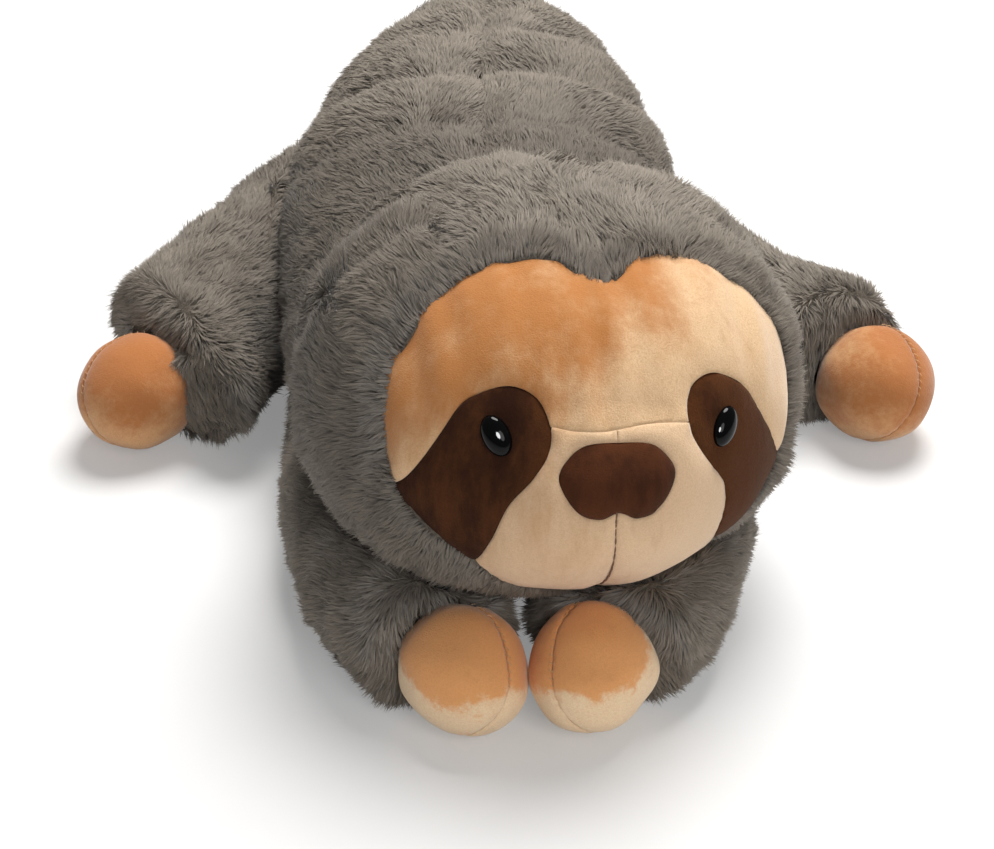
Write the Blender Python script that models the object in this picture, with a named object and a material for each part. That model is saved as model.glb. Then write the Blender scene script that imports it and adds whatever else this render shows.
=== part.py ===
"""Plush sloth that lies on its belly, as its maker cuts, sews and fills it.

Fur panels and sleeves are shells over masses of stuffing, the face and the paws are short plush,
and each eye is a plastic button with a shank and a lock washer behind the fabric. The sloth faces
-Y, its own left is +X, and it rests on the floor at Z = 0. The head turns on its neck seam, and the
arms and legs swing at their root seams, all about upright axes.
"""

import math

import bmesh
import bpy
from mathutils import Matrix, Vector

MM = 0.001

# The toy's own sides along X
LEFT = 1.0
RIGHT = -1.0
SIDE_NAMES = {LEFT: "left", RIGHT: "right"}

# Fabric and seams
FUR_THICKNESS = 4.0 * MM
PLUSH_THICKNESS = 2.5 * MM
FACE_RECESS = 1.5 * MM
SEAM_GAP = 0.3 * MM
FLOOR_CUT = 0.5 * MM
ROOT_LIFT = 0.3 * MM
ROOT_OVERLAP = 5.0 * MM
WELD_DISTANCE = 0.01 * MM
OVERRUN = 20.0 * MM
PAW_OPENING_REACH = 5.6 * MM
PAW_FILLING_REACH = 5.2 * MM

# Torso
TORSO_HALF_WIDTH = 87.5 * MM
TORSO_FRONT_LENGTH = 120.0 * MM
TORSO_REAR_LENGTH = 241.0 * MM
TORSO_HEIGHT = 106.0 * MM
TORSO_AXIS_HEIGHT = 50.0 * MM
TORSO_BOW = 8.0 * MM
BELLY_SEAM_HEIGHT = 24.0 * MM
BACK_FOLD_DEPTH = 6.0 * MM
BACK_FOLD_WIDTH = 10.0 * MM

# Head
HEAD_SIDE_OFFSET = 9.6 * MM
HEAD_FORWARD = 132.0 * MM
HEAD_MID_HEIGHT = 87.0 * MM
HEAD_RADIUS = 90.0 * MM
HEAD_UPPER_HEIGHT = 76.0 * MM
HEAD_LOWER_HEIGHT = 59.0 * MM
MUZZLE_RISE = 9.0 * MM
MUZZLE_HALF_WIDTH = 0.578 * HEAD_RADIUS
MUZZLE_HALF_HEIGHT = 0.563 * (HEAD_UPPER_HEIGHT + HEAD_LOWER_HEIGHT) / 2.0
MUZZLE_DROP = 20.0 * MM
CHIN_SEAM_DROP = 30.0 * MM
CROWN_FOLD_DEPTH = 4.0 * MM
CROWN_FOLD_WIDTH = 9.0 * MM
CROWN_FOLD_FADE = 0.28 * HEAD_RADIUS
CROWN_FOLD_START = 0.15 * HEAD_RADIUS
CROWN_FOLD_END_DEPTH = 0.5 * HEAD_RADIUS
FACE_START_DEPTH = 0.333 * HEAD_RADIUS
PANEL_START_DEPTH = 0.25 * HEAD_RADIUS
CUT_START_DEPTH = 0.15 * HEAD_RADIUS

# How the head is held, in degrees
HEAD_TURN_DEG = 14.0
FACE_PITCH_DEG = 16.0
FACE_ROLL_DEG = 7.0

# Face panels
FACE_HALF_WIDTH = 0.822 * HEAD_RADIUS
FACE_HALF_HEIGHT = 0.859 * (HEAD_UPPER_HEIGHT + HEAD_LOWER_HEIGHT) / 2.0
PATCH_WIDTH = 0.757 * FACE_HALF_WIDTH
PATCH_HEIGHT = 1.31 * FACE_HALF_HEIGHT
PATCH_INNER_SIDE = 0.324 * FACE_HALF_WIDTH
PATCH_TOP = 0.414 * FACE_HALF_HEIGHT
NOSE_HALF_WIDTH = 19.5 * MM
NOSE_HEIGHT = 26.0 * MM
NOSE_TOP = 6.0 * MM
MUZZLE_PANEL_HALF_WIDTH = 0.676 * FACE_HALF_WIDTH
CREASE_RISE = 10.0 * MM

# Eyes
EYE_SIDE = 0.54 * FACE_HALF_WIDTH
EYE_RISE = 5.8 * MM
EYE_HALF_WIDTH = 4.8 * MM
EYE_HALF_HEIGHT = 7.3 * MM
EYE_DOME = 3.2 * MM
EYE_LEAN_DEG = -26.0
SHANK_RADIUS = 2.0 * MM
SHANK_LENGTH = 9.0 * MM
SHANK_CLEARANCE = 0.3 * MM
WASHER_RADIUS = 7.0 * MM
WASHER_THICKNESS = 1.6 * MM
WASHER_DEPTH = 4.0 * MM
WASHER_POCKET_CLEARANCE = 0.5 * MM

# Arms
SHOULDER_SIDE = 62.0 * MM
SHOULDER_FORWARD = 85.0 * MM
SHOULDER_RADIUS = 31.0 * MM
SHOULDER_HEIGHT = 30.0 * MM
SHOULDER_THROAT_HEIGHT = 22.5 * MM
ARM_RADIUS = 27.5 * MM
ELBOW_SIDE_LEFT = 63.0 * MM
ELBOW_SIDE_RIGHT = 68.0 * MM
ELBOW_SIDE = {LEFT: ELBOW_SIDE_LEFT, RIGHT: ELBOW_SIDE_RIGHT}
ELBOW_FORWARD = HEAD_FORWARD + 0.622 * HEAD_RADIUS
PAW_UNDER_CHIN = 7.5 * MM
FRONT_PAW_SIDE = 23.4 * MM
FRONT_PAW_FORWARD = HEAD_FORWARD + HEAD_RADIUS - PAW_UNDER_CHIN
FRONT_PAW_RADIUS = 22.2 * MM
FRONT_PAW_HALF_LENGTH = 27.0 * MM
FRONT_PAW_TURN_DEG = 30.0
FRONT_PAW_SEAM_ROLL_DEG = 30.0
ARM_FULLNESS = 14.0 * MM

# Legs
HIP_SIDE = 60.0 * MM
HIP_BACK_LEFT = 72.0 * MM
HIP_BACK_RIGHT = 98.0 * MM
HIP_BACK = {LEFT: HIP_BACK_LEFT, RIGHT: HIP_BACK_RIGHT}
HIP_RADIUS = 37.0 * MM
LEG_RADIUS = 33.5 * MM
KNEE_SIDE_LEFT = 84.0 * MM
KNEE_SIDE_RIGHT = 112.0 * MM
KNEE_SIDE = {LEFT: KNEE_SIDE_LEFT, RIGHT: KNEE_SIDE_RIGHT}
KNEE_FORWARD_LEFT = 6.0 * MM
KNEE_BACK_RIGHT = 42.0 * MM
KNEE_BACK = {LEFT: -KNEE_FORWARD_LEFT, RIGHT: KNEE_BACK_RIGHT}
HIND_PAW_SIDE = 150.0 * MM
HIND_PAW_FORWARD_LEFT = 43.0 * MM
HIND_PAW_FORWARD_RIGHT = 38.0 * MM
HIND_PAW_FORWARD = {LEFT: HIND_PAW_FORWARD_LEFT, RIGHT: HIND_PAW_FORWARD_RIGHT}
HIND_PAW_RADIUS = 23.5 * MM
HIND_PAW_HALF_LENGTH = 27.0 * MM
HIND_PAW_TURN_LEFT_DEG = 24.0
HIND_PAW_TURN_RIGHT_DEG = 50.0
HIND_PAW_TURN_DEG = {LEFT: HIND_PAW_TURN_LEFT_DEG, RIGHT: HIND_PAW_TURN_RIGHT_DEG}
HIND_PAW_SEAM_ROLL_DEG = -30.0
LEG_FULLNESS_LEFT = 4.0 * MM
LEG_FULLNESS_RIGHT = 40.0 * MM
LEG_FULLNESS = {LEFT: LEG_FULLNESS_LEFT, RIGHT: LEG_FULLNESS_RIGHT}
LEG_FULLNESS_TURN_DEG = 20.0

# Shapes as shares of the sizes above
TORSO_FRONT_FULLNESS_SHARE = 0.50
TORSO_REAR_FULLNESS_SHARE = 0.95
TORSO_UNDERSIDE_SHARE = 0.55
TORSO_TAPER_SHARE = 1.3
TORSO_RISE_SHARE = 0.85
TORSO_SECTION_SHARE = 0.85
# Each fold across the back: its place along the rear length, the side that it leans to, its depth.
BACK_FOLD_SHARES = ((0.16, 0.3, 0.75), (0.38, 0.2, 1.0), (0.59, 0.9, 0.7))
BACK_FOLD_RING_SHARE = 1.5
BACK_FOLD_SPREAD_SHARE = 0.275
BACK_FOLD_FLANK_SHARE = 0.35
LEAST_RING_STEP_SHARE = 0.2
# Each fold that runs down the crown: where it lies round the upright axis, of a turn, and its depth.
CROWN_FOLD_SHARES = ((1 / 26, 0.7), (5 / 26, 0.8), (11 / 26, 1.0), (13 / 26, 0.75))
HEAD_UPPER_FULLNESS_SHARE = 0.95
HEAD_LOWER_FULLNESS_SHARE = 0.80
WRIST_SHARE = 0.5
ROUTE_STEP_SHARE = 0.02
SHOULDER_FULLNESS_SHARE = 0.5
HIP_FULLNESS_SHARE = 1.0
SLEEVE_SHARES = ((0.0, 1.0), (0.2, 1.0), (0.45, 0.99), (0.7, 0.96), (0.88, 0.92), (1.0, 0.84))
# How much of a limb's fullness there is along its sleeve.
FULLNESS_SHARES = ((0.0, 0.0), (0.2, 0.1), (0.4, 0.45), (0.6, 0.8), (0.8, 1.0), (1.0, 0.0))
FACE_OUTLINE_SHARES = (
    (0.0, 0.91), (0.10, 0.96), (0.20, 1.02), (0.36, 1.01), (0.55, 0.93), (0.74, 0.77), (0.88, 0.57),
    (0.96, 0.38), (1.0, 0.12), (0.99, -0.14), (0.93, -0.38), (0.80, -0.57), (0.63, -0.73),
    (0.45, -0.88), (0.24, -0.97), (0.0, -1.01),
)
PATCH_OUTLINE_SHARES = (
    (0.0, 0.16), (0.06, 0.04), (0.21, 0.0), (0.39, 0.05), (0.50, 0.12), (0.64, 0.28), (0.82, 0.50),
    (1.0, 0.66), (0.50, 1.0), (0.38, 0.87), (0.34, 0.75), (0.28, 0.53), (0.14, 0.38), (0.04, 0.27),
)
NOSE_OUTLINE_SHARES = (
    (0.0, 0.0), (0.56, 0.04), (0.87, 0.23), (1.0, 0.46), (0.87, 0.73), (0.62, 0.95), (0.31, 1.0),
    (0.0, 0.82),
)

# Faces round each form
TORSO_SIDES = 20
TORSO_STEPS = 12
HEAD_SIDES = 26
HEAD_STEPS = 14
LIMB_SIDES = 12
ROOT_SIDES = 14
ROOT_STEPS = 5
SLEEVE_STEPS = 5
PAW_STEPS = 4
EYE_SIDES = 12
DOME_STEPS = 3

UP = Vector((0.0, 0.0, 1.0))


def clear_scene():
    """Take away what a new scene holds."""
    for item in list(bpy.data.objects):
        bpy.data.objects.remove(item, do_unlink=True)


def make_material(name, colour, roughness, metallic=0.0):
    """A plain Principled material."""
    material = bpy.data.materials.new(name)
    material.use_nodes = True
    shader = material.node_tree.nodes["Principled BSDF"]
    shader.inputs["Base Color"].default_value = (*colour, 1.0)
    shader.inputs["Roughness"].default_value = roughness
    shader.inputs["Metallic"].default_value = metallic
    return material


def make_finishes():
    """The finishes of the toy by name."""
    return {
        "grey_fur": make_material("grey_fur", (0.19, 0.17, 0.14), 0.95),
        "tan_plush": make_material("tan_plush", (0.58, 0.35, 0.18), 0.9),
        "brown_plush": make_material("brown_plush", (0.05, 0.02, 0.01), 0.9),
        "eye_plastic": make_material("eye_plastic", (0.006, 0.006, 0.007), 0.12),
        "washer_plastic": make_material("washer_plastic", (0.75, 0.75, 0.73), 0.5),
        "stuffing": make_material("stuffing", (0.8, 0.8, 0.78), 1.0),
    }


def skin(name, rings, wrap=False):
    """A closed mesh over a row of rings, where a ring of one point is a pole.

    Each face is a triangle cut the same way, so a form and its drawn-in copy stay parallel. With
    wrap the last ring joins the first one, as on a washer.
    """
    mesh = bpy.data.meshes.new(name)
    shape = bmesh.new()
    rows = [[shape.verts.new(point) for point in ring] for ring in rings]
    pairs = list(zip(rows, rows[1:]))
    if wrap:
        pairs.append((rows[-1], rows[0]))
    for near, far in pairs:
        count = max(len(near), len(far))
        for i in range(count):
            j = (i + 1) % count
            first, second = near[i % len(near)], near[j % len(near)]
            third, fourth = far[j % len(far)], far[i % len(far)]
            for corners in ((first, second, third), (first, third, fourth)):
                if len(set(corners)) == 3:
                    shape.faces.new(corners)
    if not wrap:
        for row in (rows[0], rows[-1]):
            if len(row) > 2:
                shape.faces.new(row)
    bmesh.ops.recalc_face_normals(shape, faces=shape.faces)
    shape.to_mesh(mesh)
    shape.free()
    item = bpy.data.objects.new(name, mesh)
    bpy.context.scene.collection.objects.link(item)
    return item


def box(name, low, high):
    """A block between two corners."""
    layers = []
    for z in (low[2], high[2]):
        layers.append([Vector((x, y, z)) for x, y in
                       ((low[0], low[1]), (high[0], low[1]), (high[0], high[1]), (low[0], high[1]))])
    return skin(name, layers)


def combine(target, tool, operation):
    """Cut, join or intersect target with tool, which is used up."""
    modifier = target.modifiers.new(operation, "BOOLEAN")
    modifier.object = tool
    modifier.operation = operation
    modifier.solver = "EXACT"
    graph = bpy.context.evaluated_depsgraph_get()
    result = bpy.data.meshes.new_from_object(target.evaluated_get(graph))
    target.modifiers.clear()
    target.data = result
    bpy.data.objects.remove(tool, do_unlink=True)
    return target


def cut(target, *tools):
    """Take each tool's space out of target."""
    for tool in tools:
        combine(target, tool, "DIFFERENCE")
    return target


def keep(target, tool):
    """Keep only what target shares with tool."""
    return combine(target, tool, "INTERSECT")


def join(target, tool):
    """Make target and tool one solid."""
    return combine(target, tool, "UNION")


def clean(mesh):
    """Weld near-double corners and take away folds, where two triangles lie back to back."""
    shape = bmesh.new()
    shape.from_mesh(mesh)
    bmesh.ops.remove_doubles(shape, verts=shape.verts, dist=WELD_DISTANCE)
    bmesh.ops.dissolve_degenerate(shape, edges=shape.edges, dist=WELD_DISTANCE)
    bmesh.ops.triangulate(shape, faces=shape.faces)
    by_corners = {}
    for face in shape.faces:
        by_corners.setdefault(frozenset(face.verts), []).append(face)
    folds = [face for faces in by_corners.values() if len(faces) > 1 for face in faces]
    bmesh.ops.delete(shape, geom=folds, context="FACES")
    shape.to_mesh(mesh)
    shape.free()


def finish(item, name, material):
    """Clean a piece's mesh, name it, give it its material and shade it smooth between edges."""
    clean(item.data)
    item.name = name
    item.data.name = name
    item.data.materials.clear()
    item.data.materials.append(material)
    item.data.shade_smooth()
    item.data.set_sharp_from_angle(angle=math.radians(40.0))
    return item


def power(value, exponent):
    """A signed power, which rounds a circle towards a square when the exponent is under 1."""
    return math.copysign(abs(value) ** exponent, value)


def torso_middle(y):
    """How far to the side the torso's middle line bows at a place along it."""
    share = (y + TORSO_FRONT_LENGTH) / (TORSO_FRONT_LENGTH + TORSO_REAR_LENGTH)
    return -TORSO_BOW * math.sin(math.pi * min(max(share, 0.0), 1.0)) ** 2


def torso_angles():
    """The angles of the torso's rings: even steps, and three rings at each fold of the back."""
    angles = [math.pi * step / TORSO_STEPS for step in range(TORSO_STEPS + 1)]
    for place, _, _ in BACK_FOLD_SHARES:
        middle = place * TORSO_REAR_LENGTH
        reach = BACK_FOLD_RING_SHARE * BACK_FOLD_WIDTH
        for y in (middle - reach, middle, middle + reach):
            angles.append(math.acos(-(y / TORSO_REAR_LENGTH) ** (1.0 / TORSO_REAR_FULLNESS_SHARE)))
    least = LEAST_RING_STEP_SHARE * math.pi / TORSO_STEPS
    kept = []
    for angle in sorted(angles):
        if not kept or angle - kept[-1] > least:
            kept.append(angle)
    return kept[:-1] + [math.pi]


def back_fold(y, across, rise):
    """How far the back's folds draw it in at a place along it, and across and up its section."""
    depth = 0.0
    for place, lean, share in BACK_FOLD_SHARES:
        bell = math.exp(-((y - place * TORSO_REAR_LENGTH) / BACK_FOLD_WIDTH) ** 2)
        depth += share * bell * max(0.0, 1.0 - BACK_FOLD_SPREAD_SHARE * (across - lean) ** 2)
    return BACK_FOLD_DEPTH * depth * min(max(BACK_FOLD_FLANK_SHARE + rise, 0.0), 1.0)


def torso_form(name, inset):
    """The torso as a bowed loft along Y of flat-bottomed rounds, drawn in by inset on all sides."""
    half_width = TORSO_HALF_WIDTH - inset
    upper = TORSO_HEIGHT - TORSO_AXIS_HEIGHT - inset
    lower = TORSO_AXIS_HEIGHT + FLOOR_CUT - inset
    rings = []
    for angle in torso_angles():
        along = -math.cos(angle)
        length = TORSO_FRONT_LENGTH if along < 0.0 else TORSO_REAR_LENGTH
        fullness = TORSO_FRONT_FULLNESS_SHARE if along < 0.0 else TORSO_REAR_FULLNESS_SHARE
        round_share = abs(math.sin(angle)) ** fullness
        y = power(along, fullness) * (length - inset)
        if angle in (0.0, math.pi):
            rings.append([Vector((torso_middle(y), y, TORSO_AXIS_HEIGHT))])
            continue
        width = half_width * round_share ** (1.0 if along < 0.0 else TORSO_TAPER_SHARE)
        over = upper * round_share ** TORSO_RISE_SHARE
        under = lower * round_share ** TORSO_UNDERSIDE_SHARE
        ring = []
        for side in range(TORSO_SIDES):
            turn = 2.0 * math.pi * side / TORSO_SIDES
            fold = back_fold(y, math.cos(turn), math.sin(turn)) * min(over / upper, 1.0)
            across = power(math.cos(turn), TORSO_SECTION_SHARE) * (width - fold)
            height = power(math.sin(turn), TORSO_SECTION_SHARE)
            z = TORSO_AXIS_HEIGHT + height * (over - fold if height > 0.0 else under)
            ring.append(Vector((torso_middle(y) + across, y, z)))
        rings.append(ring)
    return skin(name, rings)


def head_centre():
    """The middle of the head, which its turning axis passes through."""
    return Vector((HEAD_SIDE_OFFSET, -HEAD_FORWARD, HEAD_MID_HEIGHT))


def face_axes():
    """The face's own right, up and forward directions, with the head's turn, pitch and roll."""
    turn = Matrix.Rotation(math.radians(HEAD_TURN_DEG), 3, "Z")
    pitch = Matrix.Rotation(math.radians(-FACE_PITCH_DEG), 3, "X")
    roll = Matrix.Rotation(math.radians(FACE_ROLL_DEG), 3, "Y")
    held = turn @ pitch @ roll
    return held @ Vector((1.0, 0.0, 0.0)), held @ UP, held @ Vector((0.0, -1.0, 0.0))


def muzzle_bulge(across, rise):
    """How far the muzzle stands forward at a place on the face."""
    reach = (across / MUZZLE_HALF_WIDTH) ** 2 + ((rise + MUZZLE_DROP) / MUZZLE_HALF_HEIGHT) ** 2
    return MUZZLE_RISE * max(0.0, 1.0 - reach) ** 1.5


def crown_fold(arm):
    """How far the crown's folds draw it in at an arm from the head's middle, clear of the face."""
    level = math.hypot(arm.x, arm.y)
    clear = 1.0
    for reach in (arm.z, level - CROWN_FOLD_START, CROWN_FOLD_END_DEPTH - arm.dot(face_axes()[2])):
        clear *= min(max(reach / CROWN_FOLD_FADE, 0.0), 1.0)
    depth = 0.0
    for place, share in CROWN_FOLD_SHARES:
        turn = 2.0 * math.pi * place
        if arm.x * math.cos(turn) + arm.y * math.sin(turn) > 0.0:
            off = arm.y * math.cos(turn) - arm.x * math.sin(turn)
            depth += share * math.exp(-(off / CROWN_FOLD_WIDTH) ** 2)
    return CROWN_FOLD_DEPTH * depth * clear


def around(radius, sides):
    """The radius of a ring whose flat sides, and not its corners, keep to a radius."""
    return radius / math.cos(math.pi / sides)


def head_form(name, inset, pocket=False):
    """The head, round about its upright axis, with the muzzle standing forward of it.

    As a pocket it has no muzzle, and the head's corners clear its sides as the head turns.
    """
    centre = head_centre()
    right, up, forward = face_axes()
    rings = []
    for step in range(HEAD_STEPS + 1):
        angle = math.pi * step / HEAD_STEPS
        above = math.cos(angle) > 0.0
        fullness = HEAD_UPPER_FULLNESS_SHARE if above else HEAD_LOWER_FULLNESS_SHARE
        height = (HEAD_UPPER_HEIGHT if above else HEAD_LOWER_HEIGHT) - inset
        z = power(math.cos(angle), fullness) * height
        if step in (0, HEAD_STEPS):
            rings.append([centre + UP * z])
            continue
        radius = math.sin(angle) ** fullness * (HEAD_RADIUS - inset)
        if pocket:
            radius = around(radius, HEAD_SIDES)
        ring = []
        for side in range(HEAD_SIDES):
            turn = 2.0 * math.pi * side / HEAD_SIDES
            arm = Vector((math.cos(turn) * radius, math.sin(turn) * radius, z))
            if not pocket:
                arm -= arm.normalized() * crown_fold(arm)
            if not pocket and arm.dot(forward) > 0.0:
                arm += forward * muzzle_bulge(arm.dot(right), arm.dot(up))
            ring.append(centre + arm)
        rings.append(ring)
    return skin(name, rings)


def head_reach(arm, inset):
    """Over 1 outside the round head and under 1 inside it, for an arm from its middle."""
    fullness = HEAD_UPPER_FULLNESS_SHARE if arm.z > 0.0 else HEAD_LOWER_FULLNESS_SHARE
    height = (HEAD_UPPER_HEIGHT if arm.z > 0.0 else HEAD_LOWER_HEIGHT) - inset
    level = math.hypot(arm.x, arm.y) / (HEAD_RADIUS - inset)
    return level ** (2.0 / fullness) + abs(arm.z / height) ** (2.0 / fullness)


def face_point(across, rise, inset):
    """The point of the face's surface at a place across and up it, found by halving."""
    right, up, forward = face_axes()
    near = 0.0
    far = 2.0 * HEAD_RADIUS
    for _ in range(40):
        middle = (near + far) / 2.0
        if head_reach(right * across + up * rise + forward * middle, inset) < 1.0:
            near = middle
        else:
            far = middle
    depth = near + muzzle_bulge(across, rise)
    return head_centre() + right * across + up * rise + forward * depth


def mirrored_outline(half):
    """A whole outline from its +X half, listed from top to bottom on the middle line."""
    other = [(-x, y) for x, y in reversed(half[1:-1])]
    return list(half) + other


def face_outline():
    """The rim of the face, with the notch of the fur line at its top."""
    return mirrored_outline([(x * FACE_HALF_WIDTH, y * FACE_HALF_HEIGHT) for x, y in FACE_OUTLINE_SHARES])


def patch_outline(side):
    """The rim of an eye patch, which runs past the face's lower edge."""
    return [(side * (PATCH_INNER_SIDE + x * PATCH_WIDTH), PATCH_TOP - y * PATCH_HEIGHT)
            for x, y in PATCH_OUTLINE_SHARES]


def nose_outline():
    """The rim of the nose, with its dimple at the bottom."""
    return mirrored_outline([(x * NOSE_HALF_WIDTH, NOSE_TOP - y * NOSE_HEIGHT) for x, y in NOSE_OUTLINE_SHARES])


def muzzle_outline(near, far, grow=0.0):
    """The block of the face under the crease, from near to far across it."""
    top = CREASE_RISE + grow
    bottom = -FACE_HALF_HEIGHT - OVERRUN
    return [(near, top), (far, top), (far, bottom), (near, bottom)]


def grown(outline, distance):
    """An outline moved outwards by a distance, each corner along its own middle line."""
    area = sum(a[0] * b[1] - b[0] * a[1] for a, b in zip(outline, outline[1:] + outline[:1]))
    outward = 1.0 if area > 0.0 else -1.0
    result = []
    for i, (x, y) in enumerate(outline):
        before = Vector((x, y)) - Vector(outline[i - 1])
        after = Vector(outline[(i + 1) % len(outline)]) - Vector((x, y))
        edges = [Vector((edge.y, -edge.x)).normalized() * outward for edge in (before, after)]
        middle = (edges[0] + edges[1]).normalized()
        reach = distance / max(middle.dot(edges[0]), 0.5)
        result.append((x + middle.x * reach, y + middle.y * reach))
    return result


def face_prism(name, outline, start=FACE_START_DEPTH):
    """An outline of the face carried forward from start through the front of the head."""
    right, up, forward = face_axes()
    layers = []
    for depth in (start, HEAD_RADIUS + OVERRUN):
        layers.append([head_centre() + right * x + up * y + forward * depth for x, y in outline])
    return skin(name, layers)


def face_skin(name, outline=None):
    """The face's plush, or the piece of it that fills an outline."""
    piece = keep(head_form(name, FACE_RECESS), face_prism("rim", face_outline()))
    if outline is not None:
        keep(piece, face_prism("outline", outline, PANEL_START_DEPTH))
    return cut(piece, head_form("inside", FUR_THICKNESS))


def eye_frame(side, inset):
    """An eye's place on the surface with its own right, up and outward directions."""
    step = EYE_HALF_WIDTH
    point = face_point(side * EYE_SIDE, EYE_RISE, inset)
    across = face_point(side * EYE_SIDE + step, EYE_RISE, inset) - point
    above = face_point(side * EYE_SIDE, EYE_RISE + step, inset) - point
    outward = across.cross(above).normalized()
    if outward.dot(face_axes()[2]) < 0.0:
        outward = -outward
    lean = Matrix.Rotation(math.radians(side * EYE_LEAN_DEG), 3, outward)
    upward = lean @ (above - outward * above.dot(outward)).normalized()
    return point, upward.cross(outward), upward, outward


def oval(frame, half_width, half_height, depth, sides=EYE_SIDES):
    """A ring round an eye's own axis, at a depth along it."""
    point, right, up, outward = frame
    ring = []
    for side in range(sides):
        turn = 2.0 * math.pi * side / sides
        place = right * math.cos(turn) * half_width + up * math.sin(turn) * half_height
        ring.append(point + place + outward * depth)
    return ring


def eye_plug(name, side, radius, top, depth):
    """A round plug on an eye's axis."""
    frame = eye_frame(side, FACE_RECESS)
    return skin(name, [oval(frame, radius, radius, top), oval(frame, radius, radius, -depth)])


def make_eye(side, finishes):
    """A domed oval eye with its shank, and the lock washer on the shank behind the fabric."""
    frame = eye_frame(side, FACE_RECESS)
    rings = [[frame[0] + frame[3] * (SEAM_GAP + EYE_DOME)]]
    for step in range(1, DOME_STEPS + 1):
        turn = 0.5 * math.pi * step / DOME_STEPS
        out = math.sin(turn)
        rings.append(oval(frame, EYE_HALF_WIDTH * out, EYE_HALF_HEIGHT * out,
                          SEAM_GAP + EYE_DOME * math.cos(turn)))
    rings.append(oval(frame, SHANK_RADIUS, SHANK_RADIUS, SEAM_GAP))
    rings.append(oval(frame, SHANK_RADIUS, SHANK_RADIUS, -SHANK_LENGTH))
    eye = skin("eye", rings)
    finish(eye, "eye_" + SIDE_NAMES[side], finishes["eye_plastic"])
    bore = SHANK_RADIUS + SHANK_CLEARANCE
    bottom = -WASHER_DEPTH - WASHER_THICKNESS
    washer = skin("washer", [
        oval(frame, bore, bore, -WASHER_DEPTH),
        oval(frame, WASHER_RADIUS, WASHER_RADIUS, -WASHER_DEPTH),
        oval(frame, WASHER_RADIUS, WASHER_RADIUS, bottom),
        oval(frame, bore, bore, bottom),
    ], wrap=True)
    finish(washer, "eye_washer_" + SIDE_NAMES[side], finishes["washer_plastic"])


def side_block(name, side, gap):
    """The half of space on one side of the head's own middle plane, gap away from it."""
    right, up, forward = face_axes()
    reach = HEAD_RADIUS + MUZZLE_RISE + OVERRUN
    layers = []
    for depth in (-reach, reach):
        corners = ((gap, -reach), (reach, -reach), (reach, reach), (gap, reach))
        layers.append([head_centre() + right * side * x + up * y + forward * depth for x, y in corners])
    return skin(name, layers)


def level_block(name, low, high):
    """The space between two heights, wider than the toy."""
    reach = TORSO_REAR_LENGTH + OVERRUN
    return box(name, (-reach, -reach, low), (reach, reach, high))


def make_head(finishes):
    """The head's fur panels, face panels and stuffing."""
    chin_height = HEAD_MID_HEIGHT - CHIN_SEAM_DROP
    for side in (LEFT, RIGHT):
        crown = keep(head_form("crown", 0.0), side_block("half", side, SEAM_GAP / 2.0))
        keep(crown, level_block("upper", chin_height + SEAM_GAP, HEAD_MID_HEIGHT + HEAD_RADIUS + OVERRUN))
        cut(crown, face_prism("face", grown(face_outline(), SEAM_GAP)), head_form("inside", FUR_THICKNESS))
        finish(crown, "crown_fur_" + SIDE_NAMES[side], finishes["grey_fur"])
    chin = keep(head_form("chin", 0.0), level_block("lower", 0.0, chin_height))
    cut(chin, face_prism("face", grown(face_outline(), SEAM_GAP)), head_form("inside", FUR_THICKNESS))
    finish(chin, "chin_fur", finishes["grey_fur"])

    forehead = face_skin("forehead")
    half = MUZZLE_PANEL_HALF_WIDTH
    cut(forehead, face_prism("muzzle", muzzle_outline(-half, half, SEAM_GAP), CUT_START_DEPTH))
    cut(forehead, face_prism("nose", grown(nose_outline(), SEAM_GAP), CUT_START_DEPTH))
    stuffing = head_form("filling", FUR_THICKNESS + SEAM_GAP)
    for side in (LEFT, RIGHT):
        cut(forehead, face_prism("patch", grown(patch_outline(side), SEAM_GAP), CUT_START_DEPTH))
        muzzle = face_skin("muzzle", muzzle_outline(side * SEAM_GAP / 2.0, side * half))
        cut(muzzle, face_prism("patch", grown(patch_outline(side), SEAM_GAP), CUT_START_DEPTH))
        cut(muzzle, face_prism("nose", grown(nose_outline(), SEAM_GAP), CUT_START_DEPTH))
        finish(muzzle, "muzzle_" + SIDE_NAMES[side], finishes["tan_plush"])
        patch = face_skin("patch", patch_outline(side))
        cut(patch, eye_plug("hole", side, SHANK_RADIUS + SHANK_CLEARANCE, OVERRUN, SHANK_LENGTH))
        finish(patch, "eye_patch_" + SIDE_NAMES[side], finishes["brown_plush"])
        pocket = WASHER_RADIUS + WASHER_POCKET_CLEARANCE
        cut(stuffing, eye_plug("pocket", side, pocket, OVERRUN, SHANK_LENGTH + WASHER_POCKET_CLEARANCE))
        make_eye(side, finishes)
    finish(forehead, "forehead", finishes["tan_plush"])
    finish(face_skin("nose", nose_outline()), "nose", finishes["brown_plush"])
    finish(stuffing, "head_stuffing", finishes["stuffing"])


def shoulder(side):
    """The shoulder's place on the floor plan."""
    return Vector((torso_middle(-SHOULDER_FORWARD) + side * SHOULDER_SIDE, -SHOULDER_FORWARD, 0.0))


def hip(side):
    """The hip's place on the floor plan."""
    return Vector((torso_middle(HIP_BACK[side]) + side * HIP_SIDE, HIP_BACK[side], 0.0))


def turned_disc(name, side, inset, pocket=False):
    """An arm's root: a low round cushion about the shoulder's upright axis."""
    low = ROOT_LIFT - FLOOR_CUT
    centre = shoulder(side) + UP * (SHOULDER_HEIGHT + low) / 2.0
    radius = SHOULDER_RADIUS - inset
    half_height = (SHOULDER_HEIGHT - low) / 2.0 - inset
    return turned_round(name, centre, radius, half_height, SHOULDER_FULLNESS_SHARE, pocket)


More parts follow.
